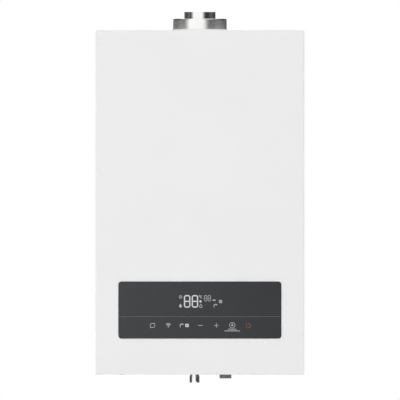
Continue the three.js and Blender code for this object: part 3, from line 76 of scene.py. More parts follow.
# ---- the camera -------------------------------------------------------------
PHOTO_PIXELS = 400  # square
PHOTO_LEFT, PHOTO_RIGHT = 95.5, 304.3  # columns of the casing's two sides
PHOTO_FOOT = 374.75  # row of the casing's lower edge
PIXEL = CASING_WIDTH / (PHOTO_RIGHT - PHOTO_LEFT)
CAMERA_DISTANCE = 30.0  # in front of the cover, for nearly parallel sight lines
EYE_LEVEL = CASING_FOOT + (PHOTO_FOOT - PHOTO_PIXELS / 2) * PIXEL


def behind(height, depth):
    """The height, at that Y, that looks level with the given height on the front face."""
    return EYE_LEVEL + (height - EYE_LEVEL) * (1 + (depth - FRONT) / CAMERA_DISTANCE)


def make_camera():
    """A camera far in front, level, that sees what the photograph sees."""
    data = bpy.data.cameras.new("portrait")
    camera = bpy.data.objects.new("portrait", data)
    bpy.context.scene.collection.objects.link(camera)
    middle = (PHOTO_LEFT + PHOTO_RIGHT) / 2
    right = (PHOTO_PIXELS / 2 - middle) * PIXEL
    camera.location = (right, FRONT - CAMERA_DISTANCE, EYE_LEVEL)
    camera.rotation_euler = (math.pi / 2, 0, 0)
    data.lens = data.sensor_width * CAMERA_DISTANCE / (PHOTO_PIXELS * PIXEL)
    data.clip_start = 1.0
    data.clip_end = 4 * CAMERA_DISTANCE
    bpy.context.scene.camera = camera


# ---- node graphs ------------------------------------------------------------
WHITE = (1, 1, 1, 1)


class Graph:
    """A node tree, with short ways to add nodes and to join them.

    Wherever a number or a colour goes in, the output of another node may go in too.
    """

    def __init__(self, tree):
        self.nodes, self.links = tree.nodes, tree.links

    def feed(self, socket, value):
        """Links an output to the socket, or writes a plain value on it."""
        if isinstance(value, bpy.types.NodeSocket):
            self.links.new(value, socket)
        else:
            socket.default_value = value

    def add(self, kind, inputs=(), **settings):
        """A new node of that kind, with its settings and then its inputs."""
        node = self.nodes.new(kind)
        for name, value in settings.items():
            setattr(node, name, value)
        for name, value in dict(inputs).items():
            self.feed(node.inputs[name], value)
        return node

    def math(self, operation, first, second):
        """The result of a sum, product or other operation on two numbers."""
        node = self.add("ShaderNodeMath", {0: first, 1: second}, operation=operation)
        return node.outputs[0]

    def ranged(self, source, start, end, low=0.0, high=1.0, **settings):
        """The source, stretched so that start..end of it becomes low..high."""
        limits = {"From Min": start, "From Max": end, "To Min": low, "To Max": high}
        node = self.add("ShaderNodeMapRange", {"Value": source, **limits}, **settings)
        return node.outputs["Result"]

    def ramp(self, source, stops):
        """Greys by the source, through (place, grey) stops in rising order."""
        node = self.add("ShaderNodeValToRGB", {"Fac": source})
        elements = node.color_ramp.elements
        for index, (place, grey) in enumerate(stops):
            mark = elements[index] if index < 2 else elements.new(place)
            mark.position = place
            mark.color = (grey, grey, grey, 1)
        return node.outputs["Color"]

    def mixed(self, factor, first, second, blend="MIX"):
        """A colour between first and second, by the factor."""
        colors = {
            name: (*color, 1) if isinstance(color, tuple) else color
            for name, color in (("A", first), ("B", second))
        }
        node = self.add(
            "ShaderNodeMix", {"Factor": factor, **colors}, data_type="RGBA", blend_type=blend,
        )
        return node.outputs["Result"]

    def either(self, factor, first, second):
        """The first shader where the factor is 0, the second where it is 1."""
        return self.add("ShaderNodeMixShader", {0: factor, 1: first, 2: second}).outputs[0]

    def seen_by(self, *kinds):
        """1 for the named kinds of light path, 0 for the others."""
        path = self.add("ShaderNodeLightPath").outputs
        seen = path[kinds[0]]
        for kind in kinds[1:]:
            seen = self.math("MAXIMUM", seen, path[kind])
        return seen


# ---- the studio -------------------------------------------------------------
FLOOR_LEVEL = -1.15
FLOOR_SIZE = 6.0
FLOOR_COLOR = (0.86, 0.86, 0.86)
FLOOR_FADE = (0.7, 2.2)  # metres from the middle, where it fades into the white world
FILL_LIGHT = 0.50  # of a white surface's brightness, from all round
LAMPS = (  # name, place, size, share of a facing white surface's brightness
    ("key", (-0.7, -4.6, 0.6), 2.6, 0.356),
    ("right", (4.2, -0.8, 0.6), 2.4, 0.14),
    ("left", (-4.2, -0.4, 0.4), 2.4, 0.27),
    ("top", (0.2, -0.6, 3.6), 2.4, 0.30),
    ("back", (0.8, 4.4, 0.8), 2.4, 0.27),
)
AIM = (0.0, -0.14, -0.25)  # the middle of the boiler

# What polished metal mirrors: the white studio with dark flags in it, by compass
# degrees from the front, positive towards +X.
STUDIO = (
    (-180, 0.27), (-150, 0.16), (-122, 0.055), (-104, 0.055), (-95, 0.16), (-84, 0.10),
    (-70, 0.06), (-57, 0.42), (-49, 1.0), (-20, 1.0), (16, 1.0), (29, 0.40), (38, 0.04),
    (62, 0.026), (82, 0.08), (96, 0.12), (112, 0.07), (130, 0.04), (160, 0.04), (180, 0.27),
)
# Its pale floor and its ceiling of white cloth, by height: 0 straight down, 1 straight up.
FLOOR_AND_CEILING = ((0.36, 0.55), (0.43, 0.0), (0.74, 0.0), (0.88, 0.9))
FLAGS_DEEPEN = (0.52, 0.62)  # heights between which the flags turn darker
DEEPEST = 1.5  # gamma of the flags above that


def make_lamps():
    """Soft square lamps round the boiler, each turned to its middle."""
    for name, place, size, share in LAMPS:
        data = bpy.data.lights.new("lamp_" + name, "AREA")
        data.shape = "SQUARE"
        data.size = size
        reach = Vector(AIM) - Vector(place)
        data.energy = share * (math.pi * reach.length) ** 2
        lamp = bpy.data.objects.new("lamp_" + name, data)
        lamp.location = place
        lamp.rotation_mode = "QUATERNION"
        lamp.rotation_quaternion = reach.to_track_quat("-Z", "Y")
        lamp.visible_glossy = False
        bpy.context.scene.collection.objects.link(lamp)


def studio_color(graph):
    """The studio as a mirror sees it, by the way that the mirror looks."""
    way = graph.add("ShaderNodeTexCoord").outputs["Generated"]
    x, y, z = graph.add("ShaderNodeSeparateXYZ", {0: way}).outputs
    compass = graph.math("ARCTAN2", x, graph.math("MULTIPLY", y, -1.0))
    turn = graph.ranged(compass, -math.pi, math.pi)
    height = graph.ranged(z, -1.0, 1.0)
    flags = graph.ramp(turn, [((degrees + 180) / 360, grey) for degrees, grey in STUDIO])
    gamma = graph.ranged(height, *FLAGS_DEEPEN, 1.0, DEEPEST)
    deepened = graph.add("ShaderNodeGamma", {"Color": flags, "Gamma": gamma}).outputs[0]
    return graph.mixed(1.0, deepened, graph.ramp(height, FLOOR_AND_CEILING), blend="LIGHTEN")


def make_world():
    """White to the eye, plain fill to dull surfaces, and the studio to polished ones."""
    world = bpy.data.worlds.new("studio")
    bpy.context.scene.world = world
    world.use_nodes = True
    graph = Graph(world.node_tree)
    graph.nodes.clear()
    light = {"Color": WHITE, "Strength": FILL_LIGHT}
    fill = graph.add("ShaderNodeBackground", light).outputs[0]
    studio = graph.add("ShaderNodeBackground", {"Color": studio_color(graph)}).outputs[0]
    white = graph.add("ShaderNodeBackground", {"Color": WHITE}).outputs[0]
    lit = graph.either(graph.seen_by("Is Glossy Ray"), fill, studio)
    shown = graph.either(graph.seen_by("Is Camera Ray", "Is Transmission Ray"), lit, white)
    graph.add("ShaderNodeOutputWorld", {"Surface": shown})


def floor_surface():
    """Pale paint that fades into the white surroundings and is clear from below."""
    material = bpy.data.materials.new("floor")
    material.use_nodes = True
    graph = Graph(material.node_tree)
    paint = graph.nodes["Principled BSDF"]
    paint.inputs["Base Color"].default_value = (*FLOOR_COLOR, 1)
    paint.inputs["Roughness"].default_value = 0.9
    paint.inputs["Specular IOR Level"].default_value = 0.0

    place = graph.add("ShaderNodeTexCoord").outputs["Object"]
    away = graph.add("ShaderNodeVectorMath", {0: place}, operation="LENGTH").outputs["Value"]
    fade = graph.ranged(away, *FLOOR_FADE, interpolation_type="SMOOTHSTEP")
    seen = graph.seen_by("Is Camera Ray", "Is Transmission Ray", "Is Glossy Ray")
    white = graph.add("ShaderNodeEmission").outputs[0]
    above = graph.either(graph.math("MULTIPLY", fade, seen), paint.outputs[0], white)
    from_below = graph.add("ShaderNodeNewGeometry").outputs["Backfacing"]
    clear = graph.add("ShaderNodeBsdfTransparent").outputs[0]
    surface = graph.nodes["Material Output"].inputs["Surface"]
    graph.feed(surface, graph.either(from_below, above, clear))
    return material


def make_floor():
    """A pale floor well below the boiler, white to the eye but for the soft shadow."""
    mesh = bpy.data.meshes.new("floor")
    half = FLOOR_SIZE / 2
    corners = [(x * half, y * half, 0) for x, y in ((-1, -1), (1, -1), (1, 1), (-1, 1))]
    mesh.from_pydata(corners, [], [(0, 1, 2, 3)])
    floor = bpy.data.objects.new("floor", mesh)
    floor.location.z = FLOOR_LEVEL
    bpy.context.scene.collection.objects.link(floor)
    floor.data.materials.append(floor_surface())


bpy.context.scene.view_settings.view_transform = "Standard"
make_camera()
make_lamps()
make_world()
make_floor()


# ---- materials --------------------------------------------------------------
MOSTLY = (0.3, 0.7)  # between these lie nearly all the values of a noise


class Surface(Graph):
    """A procedural material: a principled shader fed by noise over the object's own place."""

    def __init__(self, name, roughness, metallic=0.0, **sockets):
        self.material = bpy.data.materials.new(name)
        self.material.use_nodes = True
        super().__init__(self.material.node_tree)
        self.shader = self.nodes["Principled BSDF"]
        self.place = self.add("ShaderNodeTexCoord").outputs["Object"]
        self.set("Metallic", metallic)
        self.set("Roughness", roughness)
        for socket, value in sockets.items():
            self.set(socket.replace("_", " "), value)

    def set(self, name, value):
        """Gives the shader a value, or another node's output, by the socket's name."""
        self.feed(self.shader.inputs[name], value)

    def stretched(self, x, y, z):
        """The object's place, scaled along each axis, for grain that runs one way."""
        scale = {0: self.place, 1: (x, y, z)}
        return self.add("ShaderNodeVectorMath", scale, operation="MULTIPLY").outputs[0]

    def noise(self, size, detail=3.0, along=None):
        """Cloudy noise, 0 to 1, whose features are about size metres across."""
        grain = {"Scale": 1 / size, "Detail": detail, "Vector": along or self.place}
        return self.add("ShaderNodeTexNoise", grain).outputs["Fac"]

    def cells(self, size):
        """A grey for each of the crystal-like cells that tile the surface."""
        tiling = {"Scale": 1 / size, "Vector": self.place}
        color = self.add("ShaderNodeTexVoronoi", tiling).outputs["Color"]
        return self.add("ShaderNodeRGBToBW", {0: color}).outputs[0]

    def color(self, source, first, second, within=MOSTLY):
        """Base colour that wanders from first to second with the source."""
        self.set("Base Color", self.mixed(self.ranged(source, *within), first, second))

    def gloss(self, source, low, high):
        """Roughness that wanders from low to high with the source."""
        self.set("Roughness", self.ranged(source, *MOSTLY, low, high))

    def relief(self, source, height, under=None):
        """Bumps of that height in metres, on top of the bumps under them."""
        bumps = {"Distance": height, "Height": source}
        if under:
            bumps["Normal"] = under
        normal = self.add("ShaderNodeBump", bumps).outputs["Normal"]
        self.set("Normal", normal)
        return normal


def powder_coat():
    """Smooth white powder coat: a fine orange peel and the faintest clouding."""
    s = Surface("casing_white", 0.4)
    s.color(s.noise(0.12, 2), (0.786, 0.787, 0.786), (0.800, 0.800, 0.799))
    s.gloss(s.noise(0.05), 0.36, 0.46)
    s.relief(s.noise(0.0016, 2), 0.000012)
    return s.material


def panel_glass():
    """Dark back-printed glass, with a painted reflection that lightens it towards its left side.
    """
    s = Surface("control_glass", 0.1)
    x = s.add("ShaderNodeSeparateXYZ", {0: s.place}).outputs["X"]
    # painted reflection: the dark glass is painted lighter at its left side and darker at its
    # right
    across = s.ranged(x, GLASS_LOW.x, GLASS_HIGH.x)
    tint_with_painted_reflection = s.mixed(across, (0.0200, 0.0228, 0.0262), (0.0066, 0.0072, 0.0086))
    cloud = s.ranged(s.noise(0.06, 2), *MOSTLY, 0, 0.25)
    s.set("Base Color", s.mixed(cloud, tint_with_painted_reflection, (0.016, 0.018, 0.020)))
    s.gloss(s.noise(0.03), 0.08, 0.16)
    return s.material


def moulded(name, dark, light, roughness=0.5):
    """Moulded plastic: spark-eroded grain and slight flow marks."""
    s = Surface(name, roughness)
    s.color(s.noise(0.02), dark, light)
    s.gloss(s.noise(0.01), roughness - 0.08, roughness + 0.08)
    s.relief(s.noise(0.0007, 2), 0.00003)
    return s.material


def enamel(name, dark, light, roughness=0.25):
    """Sprayed enamel: glossy, with a soft peel."""
    s = Surface(name, roughness, Coat_Weight=0.3)
    s.color(s.noise(0.04), dark, light)
    s.gloss(s.noise(0.015), roughness - 0.06, roughness + 0.08)
    s.relief(s.noise(0.003, 2), 0.00003)
    return s.material


def zinc_sheet():
    """Galvanised sheet: frosty spangles of a few millimetres and rolling lines."""
    s = Surface("galvanised_sheet", 0.4, 0.85)
    spangle = s.cells(0.006)
    s.color(spangle, (0.43, 0.44, 0.45), (0.60, 0.61, 0.62), (0.1, 0.9))
    s.gloss(spangle, 0.34, 0.52)
    rolled = s.relief(s.noise(0.002, 3, s.stretched(1, 1, 0.05)), 0.00001)
    s.relief(spangle, 0.00001, rolled)
    return s.material


def drawn_metal(name, dark, light, roughness, metallic=1.0):
    """Bright metal with the fine lines that drawing or rolling leaves along it."""
    s = Surface(name, roughness, metallic)
    s.color(s.noise(0.03, 4), dark, light)
    lines = s.noise(0.0009, 3, s.stretched(1, 1, 0.03))
    s.gloss(lines, roughness - 0.05, roughness + 0.07)
    s.relief(lines, 0.000006)
    return s.material


def cast_metal(name, dark, light, roughness=0.45, metallic=0.9):
    """Cast or forged metal: a pebbled skin with darker hollows."""
    s = Surface(name, roughness, metallic)
    s.color(s.noise(0.006, 5), dark, light)
    s.gloss(s.noise(0.002), roughness - 0.1, roughness + 0.1)
    s.relief(s.noise(0.0012, 4), 0.00008)
    return s.material


def circuit_board():
    """Green solder mask over copper lands and traces, which show as lighter lines."""
    s = Surface("circuit_board", 0.3)
    upright = {"Vector": s.place, "Rotation": (math.pi / 2, 0, 0)}
    layout = {
        "Vector": s.add("ShaderNodeMapping", upright).outputs[0],
        "Scale": 90,
        "Mortar Size": 0.03,
        "Color1": (0.010, 0.075, 0.030, 1),
        "Color2": (0.014, 0.100, 0.040, 1),
        "Mortar": (0.05, 0.20, 0.09, 1),
    }
    traces = s.add("ShaderNodeTexBrick", layout).outputs["Color"]
    cloud = s.ranged(s.noise(0.02), *MOSTLY, 0, 0.4)
    s.set("Base Color", s.mixed(cloud, traces, (0.012, 0.09, 0.035)))
    s.relief(s.noise(0.004), 0.00004)
    return s.material


def fibre_board():
    """Pressed ceramic fibre: pale, soft and matted."""
    s = Surface("ceramic_fibre", 0.95)
    s.color(s.noise(0.004, 6), (0.70, 0.67, 0.60), (0.83, 0.81, 0.76))
    s.relief(s.noise(0.0015, 6), 0.0004)
    return s.material


def clear_glass():
    """The round sight glass, faintly green, with smoke on its inner face."""
    s = Surface("clear_glass", 0.05, Transmission_Weight=0.9)
    s.color(s.noise(0.01), (0.80, 0.86, 0.83), (0.86, 0.90, 0.88))
    s.gloss(s.noise(0.006), 0.03, 0.09)
    return s.material


def glowing(name, color):
    """A lit segment or key mark behind the glass, softly uneven as a light guide is."""
    s = Surface(name, 0.5, Emission_Strength=1.0, Base_Color=(0.02, 0.02, 0.02, 1))
    dim = tuple(0.9 * part for part in color)
    s.set("Emission Color", s.mixed(s.ranged(s.noise(0.003), *MOSTLY), dim, color))
    return s.material


SLOTS = {
    "casing_white": powder_coat(),
    "control_glass": panel_glass(),
    "carrier_plastic": moulded("carrier_plastic", (0.022, 0.022, 0.024), (0.034, 0.034, 0.036)),
    "circuit_board": circuit_board(),
    "galvanised_sheet": zinc_sheet(),
    "flue_steel": drawn_metal("flue_steel", (0.95, 0.95, 0.94), (0.99, 0.99, 0.98), 0.15),
    "flue_rubber": moulded("flue_rubber", (0.62, 0.62, 0.61), (0.70, 0.70, 0.69), 0.7),
    "stainless": drawn_metal("stainless", (0.48, 0.47, 0.45), (0.60, 0.59, 0.57), 0.3),
    "aluminised_sheet": cast_metal(
        "aluminised_sheet", (0.50, 0.50, 0.49), (0.62, 0.62, 0.61), 0.5,
    ),
    "ceramic_fibre": fibre_board(),
    "copper": drawn_metal("copper", (0.55, 0.24, 0.14), (0.78, 0.40, 0.26), 0.28),
    "brass": cast_metal("brass", (0.45, 0.31, 0.13), (0.66, 0.50, 0.25), 0.35, 1.0),
    "cast_aluminium": cast_metal("cast_aluminium", (0.42, 0.43, 0.44), (0.56, 0.57, 0.58)),
    "chromed_brass": drawn_metal("chromed_brass", (0.95, 0.95, 0.96), (0.99, 0.99, 0.99), 0.055),
    "black_plastic": moulded("black_plastic", (0.014, 0.014, 0.015), (0.024, 0.024, 0.026)),
    "grey_plastic": moulded("grey_plastic", (0.19, 0.19, 0.195), (0.25, 0.25, 0.255), 0.3),
    "composite_plastic": moulded(
        "composite_plastic", (0.04, 0.04, 0.045), (0.07, 0.07, 0.075), 0.6,
    ),
    "red_paint": enamel("red_paint", (0.42, 0.022, 0.016), (0.50, 0.032, 0.022)),
    "red_plastic": moulded("red_plastic", (0.42, 0.025, 0.018), (0.52, 0.036, 0.025), 0.4),
    "motor_black": enamel("motor_black", (0.018, 0.018, 0.018), (0.030, 0.030, 0.030), 0.4),
    "electrode_ceramic": moulded("electrode_ceramic", (0.74, 0.72, 0.67), (0.82, 0.80, 0.76), 0.2),
    "clear_glass": clear_glass(),
    "screw_steel": drawn_metal("screw_steel", (0.52, 0.52, 0.50), (0.66, 0.66, 0.64), 0.3),
    "silicone_tube": moulded("silicone_tube", (0.45, 0.42, 0.36), (0.54, 0.51, 0.45), 0.35),
}
RING_STEEL = drawn_metal("ring_steel", (0.94, 0.93, 0.92), (0.98, 0.98, 0.97), 0.19, 0.9)
MARK_WHITE = glowing("lit_segment", (0.64, 0.64, 0.65))
MARK_GREY = glowing("lit_mark", (0.42, 0.43, 0.44))
MARK_DIM = glowing("lit_dim", (0.33, 0.335, 0.34))
MARK_RED = glowing("lit_red", (0.15, 0.050, 0.032))
LINE_GREY = moulded("inlay", (0.115, 0.120, 0.128), (0.135, 0.140, 0.150), 0.3)
NODE_SLOT = {part["node"]: part["material_slot"] for part in frame["record"]["subparts"]}


# ---- mesh tools -------------------------------------------------------------
SHARP = math.radians(38)  # an edge that turns further than this stays sharp
FLAT = math.radians(0.5)  # faces that turn less than this become one


def smoothing_nodes():
    """A node group that shades gentle edges smooth and leaves sharp ones sharp."""
    group = bpy.data.node_groups.new("smooth_by_angle", "GeometryNodeTree")
    for way in ("INPUT", "OUTPUT"):
        group.interface.new_socket("Geometry", in_out=way, socket_type="NodeSocketGeometry")
    graph = Graph(group)
    turn = graph.add("GeometryNodeInputMeshEdgeAngle").outputs["Unsigned Angle"]
    gentle = graph.add("FunctionNodeCompare", {"A": turn, "B": SHARP}, operation="LESS_THAN")
    whole = graph.add("NodeGroupInput").outputs[0]
    faces = graph.add("GeometryNodeSetShadeSmooth", {"Geometry": whole}).outputs[0]
    shading = {"Geometry": faces, "Shade Smooth": gentle.outputs[0]}
    edges = graph.add("GeometryNodeSetShadeSmooth", shading, domain="EDGE").outputs[0]
    graph.add("NodeGroupOutput", {0: edges})
    return group


SMOOTHING = smoothing_nodes()


def smooth(obj):
    """Shades the object smooth except over its sharp edges."""
    obj.modifiers.new("smooth", "NODES").node_group = SMOOTHING


def soften(obj, width):
    """Merges flat triangles and rounds the sharp edges, as folding and pressing do."""
    flat = obj.modifiers.new("flat", "DECIMATE")
    flat.decimate_type = "DISSOLVE"
    flat.angle_limit = FLAT
    edge = obj.modifiers.new("edge", "BEVEL")
    edge.width = width
    edge.segments = 2
    edge.limit_method = "ANGLE"
    edge.angle_limit = SHARP
    edge.use_clamp_overlap = True


def piece(name, mesh, body, material, slot, *replaced):
    """Puts a mesh in the scene as a piece that rides on a body and stands for CAD nodes."""
    obj = bpy.data.objects.new(name, mesh)
    bpy.context.scene.collection.objects.link(obj)
    mesh.materials.append(material)
    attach(obj, body)
    if replaced:
        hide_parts(*replaced)
    return obj


def mesh_from(name, bm):
    """The finished mesh, with its faces turned outwards."""
    bmesh.ops.recalc_face_normals(bm, faces=bm.faces)
    mesh = bpy.data.meshes.new(name)
    bm.to_mesh(mesh)
    bm.free()
    return mesh


def ring_into(bm, centre, z, sides, reach):
    """A level ring of vertices round an upright axis, each as far out as reach says."""
    x, y = centre
    ring = []
    for step in range(sides):
        angle = 2 * math.pi * step / sides
        out = reach(angle)
        ring.append(bm.verts.new((x + out * math.cos(angle), y + out * math.sin(angle), z)))
    return ring


def skin_into(bm, lower, upper):
    """Faces between two rings of vertices, one of which may be a single vertex."""
    sides = max(len(lower), len(upper))
    for step in range(sides):
        after = (step + 1) % sides
        corners = [lower[step % len(lower)], lower[after % len(lower)]]
        corners += [upper[after % len(upper)], upper[step % len(upper)]]
        around = list(dict.fromkeys(corners))
        if len(around) > 2:
            bm.faces.new(around)


def lathe_into(bm, profile, centre, sides, swell=lambda radius, angle: radius):
    """Turns a closed (radius, z) profile round an upright axis through centre.

    Points on the axis become one vertex. swell may change the radius by the angle.
    """
    rings = []
    for radius, z in profile:
        if radius:
            rings.append(ring_into(bm, centre, z, sides, lambda angle: swell(radius, angle)))
        else:
            rings.append([bm.verts.new((*centre, z))])
    closed = len(rings[0]) > 1
    for index in range(len(rings) if closed else len(rings) - 1):
        skin_into(bm, rings[index], rings[(index + 1) % len(rings)])


def lathe(name, profile, centre, sides, **options):
    """A mesh turned round an upright axis."""
    bm = bmesh.new()
    lathe_into(bm, profile, centre, sides, **options)
    return mesh_from(name, bm)


def arc(centre, radius, start, end, steps):
    """Points along an arc, from start to end degrees anticlockwise from +X."""
    a, b = centre
    points = []
    for step in range(steps + 1):
        angle = math.radians(start + (end - start) * step / steps)
        points.append((a + radius * math.cos(angle), b + radius * math.sin(angle)))
    return points


# ---- marks on the glass -----------------------------------------------------
MARK_FACE = GLASS_LOW.y - mm(0.03)  # the marks' outer face
MARK_BACK = GLASS_LOW.y + mm(0.05)
WIDEST_MITRE = 0.4  # a band's width, as a share of the most that a mitre may measure


def line_into(bm, line, y):
    """Vertices at that depth, for millimetres off the middle and above the casing's edge."""
    return [bm.verts.new((mm(x), y, CASING_FOOT + mm(z))) for x, z in line]


def slab_into(bm, outline):
    """A thin plate with that outline on the face of the glass."""
    front, back = (line_into(bm, outline, y) for y in (MARK_FACE, MARK_BACK))
    bm.faces.new(front)
    bm.faces.new(back[::-1])
    skin_into(bm, back, front)


def stroke_into(bm, line, width, closed=False):
    """A flat band of that width along a line of points, with square ends."""
    if closed:
        line = [line[-1], *line, line[0]]
    left, right = [], []
    count = len(line)
    inner = range(1, count - 1) if closed else range(count)
    for index in inner:
        before = Vector(line[max(index - 1, 0)])
        after = Vector(line[min(index + 1, count - 1)])
        here = Vector(line[index])
        into, out = here - before, after - here
        into = into.normalized() if into.length else out.normalized()
        out = out.normalized() if out.length else into
        along = (into + out).normalized()
        mitre = max(along.dot(into), WIDEST_MITRE)
        side = Vector((-along.y, along.x)) * (width / 2 / mitre)
        left.append(here + side)
        right.append(here - side)
    if not closed:
        slab_into(bm, [*left, *right[::-1]])
        return
    edges = ((left, MARK_FACE), (right, MARK_FACE), (right, MARK_BACK), (left, MARK_BACK))
    rings = [line_into(bm, edge, y) for edge, y in edges]
    for index, ring in enumerate(rings):
        skin_into(bm, ring, rings[(index + 1) % len(rings)])


def disc_into(bm, centre, radius, steps=24):
    """A round dot."""
    slab_into(bm, arc(centre, radius, 0, 360, steps)[:-1])


def circle_into(bm, centre, radius, width, steps=28):
    """A round band of that width."""
    stroke_into(bm, arc(centre, radius, 0, 360, steps)[:-1], width, closed=True)


def marks(name, material, *drawings):
    """One piece for a group of marks, each drawn by its function into one mesh."""
    bm = bmesh.new()
    for draw, *settings in drawings:
        draw(bm, *settings)
    return piece(name, mesh_from(name, bm), "cover", material, "control_glass")


def eight(bm, centre, width, height, stroke, corner, gap):
    """A seven-bar figure eight whose corners are round and whose bars stand a gap apart."""
    x, z = centre
    half, tall = (width - stroke) / 2, (height - stroke) / 2
    slack = math.degrees(gap / 2 / corner)
    bend = (half - corner, tall - corner)
    upright = [*arc(bend, corner, 45 - slack, 0, 4), (half, stroke / 2 + gap)]
    crown = arc(bend, corner, 45 + slack, 90, 4)
    crown += [(-a, b) for a, b in crown[::-1]]
    for up in (1, -1):
        stroke_into(bm, [(x + a, z + up * b) for a, b in crown], stroke)
        for side in (1, -1):
            stroke_into(bm, [(x + side * a, z + up * b) for a, b in upright], stroke)
    stroke_into(bm, [(x - width / 2, z), (x + width / 2, z)], stroke)


def tap_icon(bm, centre, size, stroke):
    """A spout that bends over to the left, with its handle on top and a drop under it."""
    x, z = centre
    reach = size / 2
    bend = arc((x - reach * 0.1, z), reach * 0.6, 180, 70, 6)
    spout = [(x - reach * 0.7, z - reach * 0.5), *bend, (x + reach, z + reach * 0.35)]
    stroke_into(bm, spout, stroke * 1.4)
    stroke_into(bm, [(x + reach * 0.3, z + reach * 0.5), (x + reach * 0.3, z + reach)], stroke)
    disc_into(bm, (x - reach * 0.7, z - reach * 0.95), stroke * 0.6, 12)


def radiator_icon(bm, centre, width, height, ribs):
    """Upright ribs between two rails."""
    x, z = centre
    pitch = width / ribs
    for rib in range(ribs):
        middle = x + (rib - (ribs - 1) / 2) * pitch
        stroke_into(bm, [(middle, z - height / 2), (middle, z + height / 2)], pitch * 0.62)
    for rail in (z - 0.28 * height, z + 0.28 * height):
        for rib in range(ribs - 1):
            middle = x + (rib - (ribs - 2) / 2) * pitch
            link = [(middle - pitch * 0.19, rail), (middle + pitch * 0.19, rail)]
            stroke_into(bm, link, height * 0.14)


def drop_icon(bm, centre, size):
    """A filled drop, point upwards."""
    x, z = centre
    radius = size * 0.36
    belly = arc((x, z - size * 0.12), radius, 150, 390, 16)
    slab_into(bm, [(x, z + size * 0.52), *belly])


def drop_outline(bm, centre, size, stroke):
    """The outline of a drop, point upwards."""
    x, z = centre
    belly = arc((x, z - size * 0.1), size * 0.34, 150, 390, 16)
    stroke_into(bm, [(x, z + size * 0.45), *belly], stroke, closed=True)


def clock_icon(bm, centre, radius, stroke):
    """A ring round two hands."""
    x, z = centre
    circle_into(bm, centre, radius, stroke)
    hands = [(x, z + radius * 0.55), (x, z), (x + radius * 0.45, z - radius * 0.3)]
    stroke_into(bm, hands, stroke)


def degree_icon(bm, centre, size, stroke):
    """The ring and the open curve of the Celsius sign."""
    x, z = centre
    circle_into(bm, (x - size * 0.36, z + size * 0.3), size * 0.14, stroke * 0.8, 12)
    stroke_into(bm, arc((x + size * 0.16, z - size * 0.02), size * 0.3, 50, 310, 12), stroke)


def bar(bm, centre, width, height):
    """A pill: a plain bar with round ends."""
    x, z = centre
    radius = height / 2
    right = arc((x + width / 2 - radius, z), radius, -90, 90, 6)
    left = arc((x - width / 2 + radius, z), radius, 90, 270, 6)
    slab_into(bm, right + left)


def plus_icon(bm, centre, size, stroke):
    """Two crossed bars."""
    x, z = centre
    reach, half = size / 2, stroke / 2
    slab_into(bm, [
        (x + half, z + half), (x + half, z + reach), (x - half, z + reach), (x - half, z + half),
        (x - reach, z + half), (x - reach, z - half), (x - half, z - half), (x - half, z - reach),
        (x + half, z - reach), (x + half, z - half), (x + reach, z - half), (x + reach, z + half),
    ])


def cycle_icon(bm, centre, width, height, stroke):
    """Two bent arrows that chase each other round a rounded square."""
    x, z = centre
    w, h, r = width / 2, height / 2, height * 0.3
    for turn, start, end in ((1, 180, 90), (-1, 0, -90)):
        bend = arc((x - turn * (w - r), z + turn * (h - r)), r, start, end, 4)
        a, b = x + turn * (w - stroke), z + turn * h  # the arrow's neck
        stroke_into(bm, [(x - turn * w, z - turn * h * 0.45), *bend, (a, b)], stroke)
        head = [(a, b + 1.5 * stroke), (a, b - 1.5 * stroke), (a + turn * 2 * stroke, b)]
        slab_into(bm, head)


def waves_icon(bm, centre, size, stroke):
    """Three arcs over a dot."""
    x, z = centre
    foot = (x, z - size * 0.31)
    disc_into(bm, foot, stroke * 0.85, 12)
    for radius in (0.24, 0.46, 0.68):
        stroke_into(bm, arc(foot, size * radius, 45, 135, 8), stroke)


def dial_icon(bm, centre, radius, stroke):
    """A ring round a dot with a pointer."""
    x, z = centre
    circle_into(bm, centre, radius, stroke, 36)
    disc_into(bm, centre, radius * 0.34, 16)
    stroke_into(bm, [(x, z), (x, z + radius * 0.72)], stroke * 0.8)


def power_icon(bm, centre, radius, stroke):
    """A ring that is open at the top, with an upright bar through the opening."""
    x, z = centre
    stroke_into(bm, arc(centre, radius, 118, 422, 30), stroke)
    stroke_into(bm, [(x, z + radius * 0.35), (x, z + radius * 1.25)], stroke)


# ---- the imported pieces, finished --------------------------------------------
FOLDED = {  # sheet-metal and moulded pieces: radius of their edges, in millimetres
    "front_cover": 0.3, "left_side_panel": 0.5, "right_side_panel": 0.5, "top_panel": 0.5,
    "base_plate": 0.3, "rear_frame": 0.3, "wall_bracket": 0.4, "control_glass": 0.12,
    "control_box": 0.8, "control_box_lid": 0.8, "control_carrier": 0.4, "chamber_box": 0.3,
    "chamber_lid": 0.4, "combustion_chamber": 0.4, "exhaust_hood": 0.4, "gas_valve": 0.8,
    "plate_heat_exchanger": 0.5, "diverter_actuator": 0.8, "cable_gland": 0.3,
}


def finish_nodes():
    """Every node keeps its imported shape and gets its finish, with edges a shade softer."""
    for name, node in frame["nodes"].items():
        node.data.materials.clear()
        node.data.materials.append(SLOTS[NODE_SLOT[name]])
        if name in FOLDED:
            soften(node, mm(FOLDED[name]))
        smooth(node)


# ---- flue -------------------------------------------------------------------
def upright_axis(low, high):
    """The x and y of the upright line through the middle of a box."""
    return (low.x + high.x) / 2, (low.y + high.y) / 2


FLUE_AXIS = upright_axis(COLLAR_LOW, COLLAR_HIGH)
FLANGE_RADIUS = (COLLAR_HIGH.x - COLLAR_LOW.x) / 2
RING_RADIUS, RING_WALL = mm(51.5, 1.5)
RING_BORE = RING_RADIUS - RING_WALL
RING_FOOT = COLLAR_LOW.z
MOUTH_HEIGHT = mm(2.9)  # the polished end of the ring
TUBE_WALL = mm(1.5)
TUBE_TALLER = mm(0.7)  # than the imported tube, as the photograph shows it
FLUE_SIDES = 160


def rim(inner, outer, top):
    """Profile points over the rim of a tube, from its outside to its inside."""
    burr = mm(0.15)
    return [(outer, top - burr), (outer - burr, top), (inner + burr, top), (inner, top - burr)]


